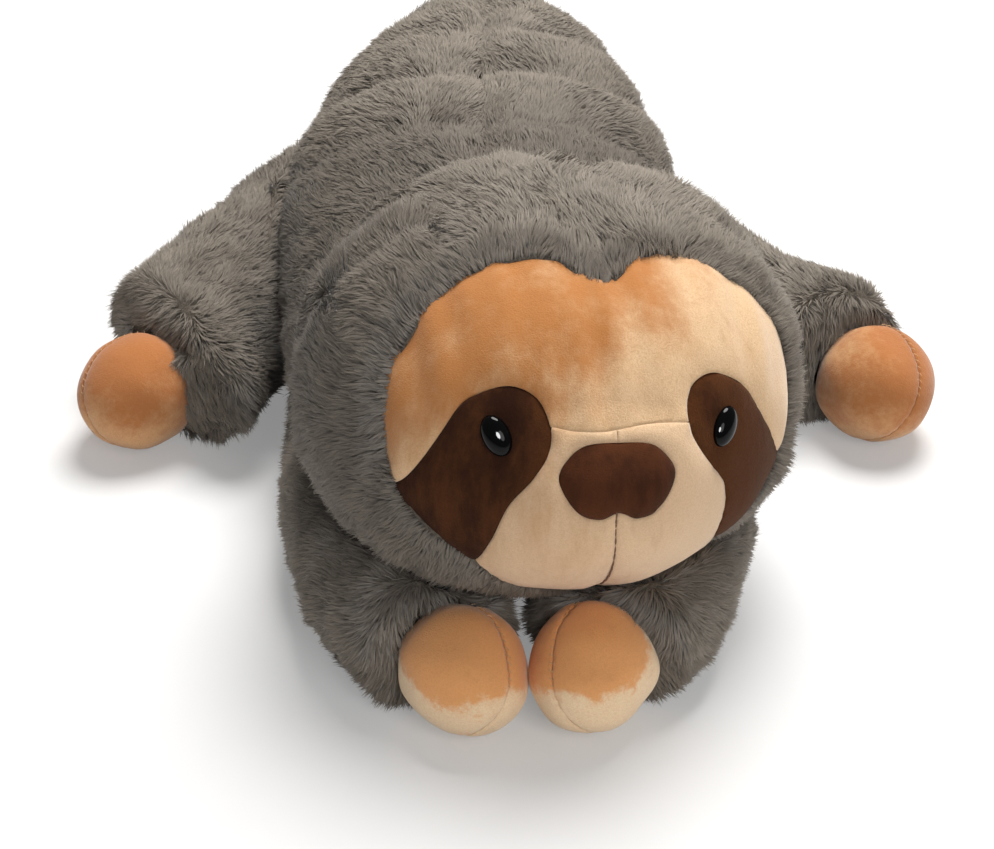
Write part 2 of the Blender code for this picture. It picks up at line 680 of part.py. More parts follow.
def turned_ball(name, side, inset, pocket=False):
    """A leg's root: a ball about the hip's upright axis."""
    centre = hip(side) + UP * (HIP_RADIUS + ROOT_LIFT - FLOOR_CUT)
    return turned_round(name, centre, HIP_RADIUS - inset, HIP_RADIUS - inset, HIP_FULLNESS_SHARE, pocket)


def turned_round(name, centre, radius, half_height, fullness, pocket):
    """A form turned about the upright axis through its middle, or the pocket that it turns in."""
    rings = [[centre + UP * half_height]]
    for step in range(1, ROOT_STEPS):
        angle = math.pi * step / ROOT_STEPS
        level = math.sin(angle) ** fullness * radius
        if pocket:
            level = around(level, ROOT_SIDES)
        z = power(math.cos(angle), fullness) * half_height
        rings.append(level_ring(centre + UP * z, level))
    rings.append([centre - UP * half_height])
    return skin(name, rings)


def level_ring(centre, radius):
    """A level ring about an upright axis."""
    turns = [2.0 * math.pi * i / ROOT_SIDES for i in range(ROOT_SIDES)]
    return [centre + Vector((math.cos(turn), math.sin(turn), 0.0)) * radius for turn in turns]


class Limb:
    """The route and sizes of one arm or leg on one side."""

    def __init__(self, side, kind):
        self.side = side
        self.is_arm = kind == "arm"
        self.name = kind + "_" + SIDE_NAMES[side]
        if self.is_arm:
            self.radius = ARM_RADIUS
            self.paw_radius = FRONT_PAW_RADIUS
            self.paw_half_length = FRONT_PAW_HALF_LENGTH
            turn = -side * math.radians(FRONT_PAW_TURN_DEG)
            self.seam_roll = side * math.radians(FRONT_PAW_SEAM_ROLL_DEG)
            self.fullness = Vector((-side * ARM_FULLNESS, 0.0, 0.0))
            root = shoulder(side)
            places = ((ELBOW_SIDE[side], -ELBOW_FORWARD), (FRONT_PAW_SIDE, -FRONT_PAW_FORWARD))
        else:
            self.radius = LEG_RADIUS
            self.paw_radius = HIND_PAW_RADIUS
            self.paw_half_length = HIND_PAW_HALF_LENGTH
            turn = side * math.radians(HIND_PAW_TURN_DEG[side])
            self.seam_roll = side * math.radians(HIND_PAW_SEAM_ROLL_DEG)
            lean = math.radians(LEG_FULLNESS_TURN_DEG)
            self.fullness = Vector((-side * math.sin(lean), -math.cos(lean), 0.0)) * LEG_FULLNESS[side]
            root = hip(side)
            places = ((KNEE_SIDE[side], KNEE_BACK[side]), (HIND_PAW_SIDE, -HIND_PAW_FORWARD[side]))
        self.points = [root] + [Vector((side * x, y, 0.0)) for x, y in places]
        self.paw_forward = Vector((math.sin(turn), -math.cos(turn), 0.0))
        self.paw_centre = self.points[2] + UP * (self.paw_radius - FLOOR_CUT)
        self.wrist = self.points[2] - self.paw_forward * self.paw_half_length * WRIST_SHARE

    def place(self, share):
        """A point of the sleeve's middle line on the floor plan, along a smooth bend."""
        start, bend, end = self.points[0], self.points[1], self.wrist
        return start * (1.0 - share) ** 2 + bend * 2.0 * share * (1.0 - share) + end * share ** 2

    def sleeve_radius(self, share):
        """The sleeve's radius at a share of its length."""
        return self.radius * table_value(SLEEVE_SHARES, share)

    def swell(self, share):
        """How far, and which way, the sleeve's full side stands out at a share of its length."""
        return self.fullness * table_value(FULLNESS_SHARES, share)


def table_value(table, share):
    """The value at a share between the rows of a table of shares."""
    for (s0, r0), (s1, r1) in zip(table, table[1:]):
        if share <= s1:
            return r0 + (r1 - r0) * (share - s0) / (s1 - s0)
    return table[-1][1]


def floor_ring(place, forward, radius, inset, height_of_axis=None, swell=Vector()):
    """A ring square to a level route, whose outer fabric touches the floor.

    The side that faces the way of swell stands out by up to its length.
    """
    side = UP.cross(forward).normalized()
    axis = radius - FLOOR_CUT if height_of_axis is None else height_of_axis
    ring = []
    for i in range(LIMB_SIDES):
        turn = 2.0 * math.pi * i / LIMB_SIDES
        arm = side * math.cos(turn) + UP * math.sin(turn)
        full = swell * max(arm.dot(swell.normalized()), 0.0)
        ring.append(Vector((place.x, place.y, axis)) + arm * (radius - inset) + full)
    return ring


def sleeve_rings(limb, inset):
    """The rings of a sleeve from its root to its wrist."""
    rings = []
    for step in range(SLEEVE_STEPS + 1):
        share = step / SLEEVE_STEPS
        before = limb.place(max(share - ROUTE_STEP_SHARE, 0.0))
        forward = (limb.place(min(share + ROUTE_STEP_SHARE, 1.0)) - before).normalized()
        place = limb.place(share)
        if step == 0:
            place = place - forward * ROOT_OVERLAP
        if step == SLEEVE_STEPS:
            forward = limb.paw_forward
            place = place - forward * inset
        rings.append(floor_ring(place, forward, limb.sleeve_radius(share), inset, swell=limb.swell(share)))
    return rings


def paw_rings(limb, inset, start=None):
    """The rings of a paw from its wrist to its tip, an egg about the limb's own forward line."""
    start_angle = math.acos(WRIST_SHARE)
    rings = []
    for step in range(PAW_STEPS + 1):
        angle = start_angle + (math.pi - start_angle) * step / PAW_STEPS
        along = -math.cos(angle) * (limb.paw_half_length - (inset if math.cos(angle) < 0.0 else 0.0))
        place = limb.points[2] + limb.paw_forward * along
        if step == PAW_STEPS:
            rings.append([Vector((place.x, place.y, limb.paw_centre.z))])
            continue
        radius = math.sin(angle) * limb.paw_radius
        rings.append(floor_ring(place, limb.paw_forward, radius, inset, limb.paw_centre.z))
    if start is not None:
        rings.insert(0, [point + limb.paw_forward * start for point in rings[0]])
    return rings


def limb_mass(limb, inset):
    """A sleeve with its root, drawn in by inset, clear of the torso and, on an arm, of the head."""
    mass = skin("mass", sleeve_rings(limb, inset))
    clear = SEAM_GAP + inset
    if limb.is_arm:
        column_radius = around(SHOULDER_RADIUS + inset, ROOT_SIDES)
        root = limb.points[0]
        layers = [level_ring(root + UP * z, column_radius)
                  for z in (SHOULDER_THROAT_HEIGHT - inset, SHOULDER_HEIGHT + 2.0 * ARM_RADIUS)]
        cut(mass, skin("column", layers), torso_form("torso", -clear), head_form("head", -clear, True))
        join(mass, turned_disc("root", limb.side, inset))
    else:
        cut(mass, torso_form("torso", -clear))
        join(mass, turned_ball("root", limb.side, inset))
    return mass


def wrist_block(limb, start):
    """The space in front of a limb's wrist, from start onwards."""
    across = UP.cross(limb.paw_forward)
    reach = 2.0 * limb.radius
    layers = []
    for depth in (start, start + 4.0 * limb.paw_half_length):
        middle = limb.wrist + limb.paw_forward * depth
        corners = ((-reach, -reach), (reach, -reach), (reach, reach), (-reach, reach))
        layers.append([middle + across * x + UP * (z + limb.radius) for x, z in corners])
    return skin("wrist", layers)


def paw_side_block(limb, which):
    """The space on one side of a paw's seam, whose plane is rolled about the paw's forward line."""
    roll = Matrix.Rotation(limb.seam_roll, 3, limb.paw_forward)
    across = roll @ UP.cross(limb.paw_forward) * which
    above = roll @ UP
    reach = 2.0 * limb.radius
    layers = []
    for depth in (-limb.paw_half_length, 2.0 * limb.paw_half_length):
        middle = limb.paw_centre + limb.paw_forward * depth
        corners = ((SEAM_GAP / 2.0, -reach), (reach, -reach), (reach, reach), (SEAM_GAP / 2.0, reach))
        layers.append([middle + across * x + above * z for x, z in corners])
    return skin("half", layers)


def make_limb(limb, finishes):
    """The sleeve, the two halves of the paw and the stuffing of one limb."""
    sleeve = limb_mass(limb, 0.0)
    cut(sleeve, level_block("floor", -OVERRUN, 0.0), limb_mass(limb, FUR_THICKNESS))
    cut(sleeve, skin("opening", paw_rings(limb, PLUSH_THICKNESS, -PAW_OPENING_REACH)))
    finish(sleeve, limb.name + "_fur", finishes["grey_fur"])

    for which, label in ((limb.side, "outer"), (-limb.side, "inner")):
        half = skin("paw", paw_rings(limb, 0.0))
        keep(half, paw_side_block(limb, which))
        keep(half, wrist_block(limb, SEAM_GAP))
        cut(half, level_block("floor", -OVERRUN, 0.0), skin("inside", paw_rings(limb, PLUSH_THICKNESS, -OVERRUN)))
        finish(half, limb.name + "_paw_" + label, finishes["tan_plush"])

    stuffing = limb_mass(limb, FUR_THICKNESS + SEAM_GAP)
    join(stuffing, skin("paw", paw_rings(limb, PLUSH_THICKNESS + SEAM_GAP, -PAW_FILLING_REACH)))
    finish(stuffing, limb.name + "_stuffing", finishes["stuffing"])


def torso_pockets():
    """The spaces in the torso that the head and the limbs' roots sit in."""
    pockets = [head_form("head", -SEAM_GAP, True)]
    for side in (LEFT, RIGHT):
        pockets.append(turned_disc("shoulder", side, -SEAM_GAP, True))
        pockets.append(turned_ball("hip", side, -SEAM_GAP, True))
    return pockets


def make_torso(finishes):
    """The two back panels, the belly panel and the stuffing of the torso."""
    reach = TORSO_REAR_LENGTH + OVERRUN
    seam = BELLY_SEAM_HEIGHT
    for side in (LEFT, RIGHT):
        back = torso_form("back", 0.0)
        near, far = sorted((side * SEAM_GAP / 2.0, side * reach))
        keep(back, box("half", (near, -reach, seam + SEAM_GAP), (far, reach, TORSO_HEIGHT + OVERRUN)))
        cut(back, torso_form("inside", FUR_THICKNESS), *torso_pockets())
        finish(back, "back_fur_" + SIDE_NAMES[side], finishes["grey_fur"])
    belly = keep(torso_form("belly", 0.0), level_block("lower", 0.0, seam))
    cut(belly, torso_form("inside", FUR_THICKNESS), *torso_pockets())
    finish(belly, "belly_fur", finishes["grey_fur"])
    stuffing = cut(torso_form("filling", FUR_THICKNESS + SEAM_GAP), *torso_pockets())
    finish(stuffing, "torso_stuffing", finishes["stuffing"])


def turn_about(pivot, still):
    """Put the origin of each piece that is not in still on the axis it turns about."""
    for item in set(bpy.data.objects) - still:
        item.data.transform(Matrix.Translation(-pivot))
        item.location = pivot


def main():
    """Build the sloth."""
    clear_scene()
    finishes = make_finishes()
    make_torso(finishes)
    still = set(bpy.data.objects)
    make_head(finishes)
    turn_about(head_centre(), still)
    for side in (LEFT, RIGHT):
        for kind in ("arm", "leg"):
            still = set(bpy.data.objects)
            limb = Limb(side, kind)
            make_limb(limb, finishes)
            turn_about(limb.points[0], still)


main()
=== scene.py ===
"""Looks of a plush sloth that lies on its belly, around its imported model.

The toy faces -Y, its own left is +X and it rests on the floor at Z = 0, in metres. Fur panels and
sleeves are padded skins with a pile of real fibres, the face and the paws are short plush, and the
eyes are glossy buttons. Every form repeats the sizes of the solids that it stands for.
"""

from __future__ import annotations

import logging
import math
from dataclasses import dataclass, field
from enum import Enum
from itertools import product
from typing import Any, Callable

import bpy
import bmesh
import numpy as np
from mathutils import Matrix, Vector


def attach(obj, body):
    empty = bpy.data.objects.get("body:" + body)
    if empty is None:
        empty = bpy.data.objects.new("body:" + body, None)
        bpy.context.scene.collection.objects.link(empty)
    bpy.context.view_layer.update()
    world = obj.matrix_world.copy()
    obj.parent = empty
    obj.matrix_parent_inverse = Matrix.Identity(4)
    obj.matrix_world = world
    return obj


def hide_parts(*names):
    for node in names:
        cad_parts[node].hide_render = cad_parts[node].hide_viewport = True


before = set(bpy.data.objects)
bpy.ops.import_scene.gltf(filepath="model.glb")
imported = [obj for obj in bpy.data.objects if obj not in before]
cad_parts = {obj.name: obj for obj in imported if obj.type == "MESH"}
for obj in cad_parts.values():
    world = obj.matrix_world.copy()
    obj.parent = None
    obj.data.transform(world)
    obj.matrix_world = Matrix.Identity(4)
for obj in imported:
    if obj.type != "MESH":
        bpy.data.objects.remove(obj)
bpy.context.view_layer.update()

LOG = logging.getLogger("sloth")
MM = 0.001
Array = np.ndarray
Item = bpy.types.Object
Material = bpy.types.Material
UP = np.array((0.0, 0.0, 1.0))
WHITE = (1.0, 1.0, 1.0, 1.0)
TINY = 1e-9
POLE_SIZE = 1e-10
LEAST_DIVISOR = 1e-12
LEAST_SIZE = 1e-6
SKIN = 1.2 * MM
WAVE_COUNT = 7
CURVE_STEPS = 6
CELL_PRIMES = (73856093, 19349663, 83492791)
SEED_PRIME = 40503
MIX_STEPS = ((13, 1274126177), (15, 1103515245))
MIX_MASK = 0x7FFFFFFF
SHARE_MASK = 0xFFFF


class Side(Enum):
    """The toy's own sides, with their sign along X."""

    LEFT = 1.0
    RIGHT = -1.0

    @property
    def word(self) -> str:
        """The side's name in the names of pieces."""
        return self.name.lower()


class Slot(Enum):
    """The record's material slots."""

    FUR = "grey_fur"
    TAN = "tan_plush"
    BROWN = "brown_plush"
    EYE = "eye_plastic"


# Arrays


def unit(vectors: Array) -> Array:
    """Vectors at length one, along the last axis."""
    return vectors / np.maximum(np.linalg.norm(vectors, axis=-1, keepdims=True), LEAST_DIVISOR)


def dot(a: Array, b: Array) -> Array:
    """The dot product along the last axis, which is kept."""
    return np.sum(a * b, axis=-1, keepdims=True)


def power(value: Array, exponent: float | Array) -> Array:
    """A signed power: sign times size to the exponent."""
    return np.sign(value) * np.abs(value) ** exponent


def bell(distance: Array, width: float) -> Array:
    """exp(-(distance / width) squared), the cross section of a soft fold."""
    return np.exp(-((distance / width) ** 2))


def ease(low: float, high: float, value: Array) -> Array:
    """Runs smoothly from 0 at low to 1 at high: 3x^2 - 2x^3 of the clamped share."""
    share = np.clip((value - low) / (high - low), 0.0, 1.0)
    return share * share * (3.0 - 2.0 * share)


def waves(points: Array, length: float, seed: int) -> Array:
    """A soft random field in about -1..1: a sum of sines on random directions over its root.

    Args:
        points: Places, with xyz on the last axis.
        length: The wave length in metres.
        seed: Which field it is.

    Returns:
        One value for each place.
    """
    rng = np.random.default_rng(seed)
    ways = unit(rng.normal(size=(WAVE_COUNT, 3))) * rng.uniform(0.7, 1.5, (WAVE_COUNT, 1))
    phases = rng.uniform(0.0, 2.0 * math.pi, WAVE_COUNT)
    return np.sin(points @ (ways.T * 2.0 * math.pi / length) + phases).sum(-1) / math.sqrt(WAVE_COUNT)


def scatter(cells: Array, seed: int) -> Array:
    """A number in 0..1 for each whole-numbered cell, by a bit mixing hash."""
    x, y, z = (cells[:, axis] * prime for axis, prime in enumerate(CELL_PRIMES))
    mixed = x ^ y ^ z ^ seed * SEED_PRIME
    for shift, prime in MIX_STEPS:
        mixed = ((mixed ^ (mixed >> shift)) * prime) & MIX_MASK
    return ((mixed >> 8) & SHARE_MASK) / SHARE_MASK


def tufts(points: Array, size: float, seed: int) -> tuple[Array, Array]:
    """The tuft that each place belongs to.

    Space is cut into cells with one shaken middle each, and a place belongs to the nearest of the
    middles of the 27 cells round it.

    Args:
        points: Places, one in each row.
        size: The width of a cell.
        seed: Which pattern it is.

    Returns:
        The middle of each place's tuft, and three numbers in 0..1 that its tuft has.
    """
    cells = np.floor(points / size).astype(np.int64)
    nearest = np.full(len(points), np.inf)
    middle = np.zeros_like(points)
    chosen = np.zeros_like(cells)
    for step in product((-1, 0, 1), repeat=3):
        near = cells + np.array(step)
        shaken = np.stack([scatter(near, seed + k) for k in range(3)], -1)
        place = (near + shaken) * size
        far = ((place - points) ** 2).sum(-1)
        better = far < nearest
        nearest[better] = far[better]
        middle[better] = place[better]
        chosen[better] = near[better]
    return middle, np.stack([scatter(chosen, seed + 11 + k) for k in range(3)], -1)


def closed_curve(corners: Array) -> Array:
    """A smooth closed curve through corners, one in each row, by Catmull-Rom pieces."""
    before, after, beyond = (np.roll(corners, k, axis=0) for k in (1, -1, -2))
    t = (np.arange(CURVE_STEPS) / CURVE_STEPS)[None, :, None]
    a, b, c, d = (p[:, None, :] for p in (before, corners, after, beyond))
    curve = 0.5 * (2 * b + (c - a) * t + (2 * a - 5 * b + 4 * c - d) * t**2 + (3 * b - a - 3 * c + d) * t**3)
    return curve.reshape(-1, corners.shape[1])


def inside_distance(places: Array, outline: Array) -> Array:
    """The distance from each place to a closed outline, positive inside it.

    The distance is the least one to any edge, and a place is inside if a level ray from it
    crosses an odd number of edges.

    Args:
        places: Places in the plane, any shape with xy last.
        outline: Corners of the outline, one in each row.

    Returns:
        Signed distances, one for each place.
    """
    flat = places.reshape(-1, 2)
    best = np.full(len(flat), np.inf)
    crossings = np.zeros(len(flat), int)
    for start, end in zip(outline, np.roll(outline, -1, axis=0)):
        edge = end - start
        along = np.clip(((flat - start) @ edge) / max(edge @ edge, LEAST_DIVISOR), 0.0, 1.0)
        best = np.minimum(best, np.linalg.norm(flat - start - along[:, None] * edge, axis=1))
        spans = (start[1] > flat[:, 1]) != (end[1] > flat[:, 1])
        run = (flat[:, 1] - start[1]) / (edge[1] if abs(edge[1]) > LEAST_DIVISOR else LEAST_DIVISOR)
        crossings += spans & (flat[:, 0] < start[0] + run * edge[0])
    return np.where(crossings % 2 == 1, best, -best).reshape(places.shape[:-1])


def cells_round(keep: Array) -> Array:
    """How many of the four cells round each corner of a grid are kept."""
    padded = np.pad(keep.astype(int), 1)
    return padded[:-1, :-1] + padded[1:, :-1] + padded[1:, 1:] + padded[:-1, 1:]


# Meshes


def make_object(name: str, points: Array, faces: Array, weld: bool = True) -> Item:
    """An object from points and faces of three or four corners, shaded smooth.

    Args:
        name: The piece's name.
        points: Corner places, one in each row.
        faces: Corner numbers, one face in each row.
        weld: Whether corners at one place become one, and the faces are made to point outwards.

    Returns:
        The object, at the origin.
    """
    mesh = bpy.data.meshes.new(name)
    corners = faces.shape[1]
    mesh.vertices.add(len(points))
    mesh.vertices.foreach_set("co", points.astype(np.float32).ravel())
    mesh.loops.add(faces.size)
    mesh.loops.foreach_set("vertex_index", faces.astype(np.int32).ravel())
    mesh.polygons.add(len(faces))
    mesh.polygons.foreach_set("loop_start", np.arange(0, faces.size, corners, dtype=np.int32))
    mesh.update(calc_edges=True)
    if weld:
        shape = bmesh.new()
        shape.from_mesh(mesh)
        loose = [corner for corner in shape.verts if not corner.link_faces]
        bmesh.ops.delete(shape, geom=loose, context="VERTS")
        bmesh.ops.remove_doubles(shape, verts=shape.verts, dist=0.01 * MM)
        bmesh.ops.dissolve_degenerate(shape, edges=shape.edges, dist=0.001 * MM)
        if shape.calc_volume(signed=True) < 0.0:
            bmesh.ops.reverse_faces(shape, faces=shape.faces)
        shape.to_mesh(mesh)
        shape.free()
    mesh.shade_smooth()
    item = bpy.data.objects.new(name, mesh)
    bpy.context.scene.collection.objects.link(item)
    return item


@dataclass
class Patch:
    """A stretch of surface: a grid of places, with the cells that belong to it.

    The grid is rows by columns, and with wrap the last column joins the first.
    """

    points: Array
    middle: Array
    keep: Array | None = None
    wrap: bool = False
    normals: Array = field(init=False)

    def __post_init__(self) -> None:
        """Works out the normals and, where none are given, keeps every cell."""
        rows, columns = self.points.shape[:2]
        if self.keep is None:
            self.keep = np.ones((rows - 1, columns if self.wrap else columns - 1), bool)
        self.normals = self.grid_normals()

    def grid_normals(self) -> Array:
        """Outward normals by crossing the grid's two slopes, with poles taking their neighbours'."""
        grid = self.points
        if self.wrap:
            grid = np.concatenate([grid[:, -1:], grid, grid[:, :1]], axis=1)
        normals = np.cross(np.gradient(grid, axis=0), np.gradient(grid, axis=1))
        if self.wrap:
            normals = normals[:, 1:-1]
        size = np.linalg.norm(normals, axis=-1)
        least = TINY * max(np.median(size), LEAST_DIVISOR)
        for row, near in ((0, 1), (-1, -2)):
            if np.median(size[row]) < least or size[row].max() < POLE_SIZE:
                normals[row] = normals[near].mean(axis=0)
        normals = unit(normals)
        outward = np.median(np.sum(normals * (self.points - self.middle), axis=-1))
        return normals if outward >= 0.0 else -normals

    def moved(self, distance: Array) -> Patch:
        """The patch with each place moved along its normal by a distance."""
        return Patch(self.points + self.normals * distance[..., None], self.middle, self.keep, self.wrap)

    def cells(self) -> tuple[Array, ...]:
        """Corner numbers a, b, c, d of each cell, as four grids."""
        rows, columns = self.points.shape[:2]
        number = np.arange(rows * columns).reshape(rows, columns)
        if self.wrap:
            number = np.concatenate([number, number[:, :1]], axis=1)
        return number[:-1, :-1], number[1:, :-1], number[1:, 1:], number[:-1, 1:]

    def shell(self, name: str, thickness: float) -> Item:
        """A closed skin of a thickness under the patch, with a wall along every free edge.

        Args:
            name: The piece's name.
            thickness: How far the inner face lies under the outer one.

        Returns:
            The object.
        """
        inner = self.points - self.normals * thickness
        lift = self.points.shape[0] * self.points.shape[1]
        a, b, c, d = self.cells()
        kept = self.keep
        outer = np.stack([a[kept], b[kept], c[kept], d[kept]], -1)
        faces = [outer, outer[:, ::-1] + lift]
        rows = np.pad(kept, ((1, 1), (0, 0)))
        starts, ends = kept & ~rows[:-2], kept & ~rows[2:]
        if self.wrap:
            left, right = kept & ~np.roll(kept, 1, axis=1), kept & ~np.roll(kept, -1, axis=1)
        else:
            columns = np.pad(kept, ((0, 0), (1, 1)))
            left, right = kept & ~columns[:, :-2], kept & ~columns[:, 2:]
        for mask, first, second in ((starts, a, d), (ends, c, b), (left, b, a), (right, d, c)):
            one, two = first[mask], second[mask]
            faces.append(np.stack([one, two, two + lift, one + lift], -1))
        places = np.concatenate([self.points.reshape(-1, 3), inner.reshape(-1, 3)])
        return make_object(name, places, np.concatenate(faces))

    def whole(self, name: str) -> Item:
        """An object of every cell, for a patch that closes on itself."""
        corners = [number.ravel() for number in self.cells()]
        return make_object(name, self.points.reshape(-1, 3), np.stack(corners, -1))


# Shaders and finishes


class Value:
    """A number socket of a shader tree, with Python's operators as Math nodes."""

    def __init__(self, tree: Tree, socket: Any) -> None:
        """Wraps a socket of the tree."""
        self.tree = tree
        self.socket = socket

    def maths(self, operation: str, *others: Any) -> Value:
        """This value and others through a Math node."""
        return self.tree.add("ShaderNodeMath", {"operation": operation}, dict(enumerate((self, *others))))

    def __add__(self, other: Any) -> Value:
        """self + other."""
        return self.maths("ADD", other)

    __radd__ = __add__

    def __mul__(self, other: Any) -> Value:
        """self * other."""
        return self.maths("MULTIPLY", other)

    __rmul__ = __mul__

    def __sub__(self, other: Any) -> Value:
        """self - other."""
        return self.maths("SUBTRACT", other)

    def __rsub__(self, other: Any) -> Value:
        """other - self."""
        return (self * -1.0) + other

    def clamped(self) -> Value:
        """The value held in 0..1."""
        return self.maths("MAXIMUM", 0.0).maths("MINIMUM", 1.0)

    def between(self, low: float, high: float) -> Value:
        """0 up to low and 1 from high on, smoothly in between."""
        return self.tree.add("ShaderNodeMapRange", {"interpolation_type": "SMOOTHSTEP"},
                             {"Value": self, "From Min": low, "From Max": high})


class Tree:
    """The node tree of a material or a world, in which one method adds any node."""

    def __init__(self, name: str, store: Any = None) -> None:
        """A new owner with an empty tree: a material, unless another store is given."""
        self.owner = (bpy.data.materials if store is None else store).new(name)
        self.owner.use_nodes = True
        self.nodes = self.owner.node_tree.nodes
        self.links = self.owner.node_tree.links
        self.nodes.clear()

    def add(self, kind: str, settings: dict[str, Any] | None = None,
            inputs: dict[Any, Any] | None = None, output: Any = 0) -> Value | None:
        """Adds a node.

        Args:
            kind: The node's type.
            settings: Its own settings, which are set first.
            inputs: Values or links by the socket's name or number.
            output: The name or number of the output that is wanted.

        Returns:
            The wanted output, or nothing from a node that has no outputs.
        """
        node = self.nodes.new(kind)
        for key, value in (settings or {}).items():
            setattr(node, key, value)
        for key, value in (inputs or {}).items():
            if isinstance(value, Value):
                self.links.new(value.socket, node.inputs[key])
            else:
                node.inputs[key].default_value = value
        return Value(self, node.outputs[output]) if node.outputs else None

    def attribute(self, name: str) -> Value:
        """A number that the mesh holds under a name."""
        return self.add("ShaderNodeAttribute", {"attribute_name": name}, output="Fac")

    def place(self, scale: tuple[float, float, float] = (1.0, 1.0, 1.0)) -> Value:
        """Object coordinates, stretched by a scale."""
        where = self.add("ShaderNodeTexCoord", output="Object")
        return self.add("ShaderNodeVectorMath", {"operation": "MULTIPLY"}, {0: where, 1: scale})

    def along(self, way: tuple[float, float, float]) -> Value:
        """How far along a way each place is."""
        where = self.add("ShaderNodeTexCoord", output="Object")
        return self.add("ShaderNodeVectorMath", {"operation": "DOT_PRODUCT"}, {0: where, 1: way}, "Value")

    def noise(self, where: Value, size: float, detail: float = 2.0, rough: float = 0.5,
              seed: float = 0.0) -> Value:
        """Soft noise in about 0..1, whose features are size metres wide."""
        inputs = {"Vector": where, "W": seed, "Scale": 1.0 / size, "Detail": detail, "Roughness": rough}
        return self.add("ShaderNodeTexNoise", {"noise_dimensions": "4D"}, inputs)

    def mix(self, factor: Any, first: Any, second: Any, blend: str = "MIX") -> Value:
        """Two colours mixed by a factor. The node's own numbers for them are 0, 6 and 7, and 2 comes out."""
        return self.add("ShaderNodeMix", {"data_type": "RGBA", "blend_type": blend},
                        {0: factor, 6: first, 7: second}, 2)

    def bump(self, height: Value, distance: float, strength: float = 1.0) -> Value:
        """A normal from a height, which stands distance metres high."""
        inputs = {"Height": height, "Distance": distance, "Strength": strength}
        return self.add("ShaderNodeBump", inputs=inputs)

    def principled(self, **sockets: Any) -> Material:
        """Ends the tree in a Principled shader, with sockets by name, spaces as underscores."""
        named = {key.replace("_", " "): value for key, value in sockets.items()}
        shader = self.add("ShaderNodeBsdfPrincipled", inputs=named)
        self.add("ShaderNodeOutputMaterial", inputs={"Surface": shader})
        return self.owner


def rgb(red: int, green: int, blue: int) -> tuple[float, float, float, float]:
    """A colour from its 0..255 screen values, made linear."""
    def linear(value: int) -> float:
        """One channel by the screen's curve."""
        share = value / 255.0
        return share / 12.92 if share <= 0.04045 else ((share + 0.055) / 1.055) ** 2.4
    return linear(red), linear(green), linear(blue), 1.0


class Finish:
    """A look that can be made into a material."""

    def make(self) -> Material:
        """The material."""
        raise NotImplementedError


@dataclass(frozen=True)
class PileFinish(Finish):
    """Grey fibres: dark at the root, paler towards the tip, with a tone for each fibre and painted shade."""

    root: tuple[int, int, int] = (97, 89, 79)
    tip: tuple[int, int, int] = (147, 137, 124)
    pale: tuple[int, int, int] = (172, 162, 148)
    shade: tuple[float, float, float, float] = (0.34, 0.33, 0.32, 1.0)

    def make(self) -> Material:
        """The material, which reads the fibre's along, across and tone."""
        tree = Tree("grey_pile")
        along, across, tone = (tree.attribute(name) for name in ("along", "across", "tone"))
        body = tree.mix(along.between(0.0, 0.85), rgb(*self.root), rgb(*self.tip))
        colour = tree.mix((tone - 0.45).clamped() * along, body, rgb(*self.pale))
        # The tone holds both a random tone and the coats' painted shade.
        streak = (across * 9.0 + tone * 40.0).maths("SINE") * 0.5 + 0.5
        shade = tree.mix(streak * 0.18 + (1.0 - tone) * 0.36, WHITE, self.shade)
        return tree.principled(Base_Color=tree.mix(1.0, colour, shade, "MULTIPLY"), Roughness=0.62,
                               Specular_IOR_Level=0.25, Sheen_Weight=0.25, Sheen_Roughness=0.5)


@dataclass(frozen=True)
class BackingFinish(Finish):
    """The knitted backing that the fibres stand in, seen only between them; its darkness is painted shade.
    """

    dark: tuple[int, int, int] = (82, 75, 67)
    light: tuple[int, int, int] = (110, 102, 92)

    def make(self) -> Material:
        """The material: fine loops in two tones."""
        tree = Tree("fur_backing")
        loops = tree.noise(tree.place(), 0.9 * MM, 3.0, 0.6)
        colour = tree.mix(loops.between(0.3, 0.7), rgb(*self.dark), rgb(*self.light))
        return tree.principled(Base_Color=colour, Roughness=0.95, Normal=tree.bump(loops, 0.5 * MM),
                               Specular_IOR_Level=0.1)


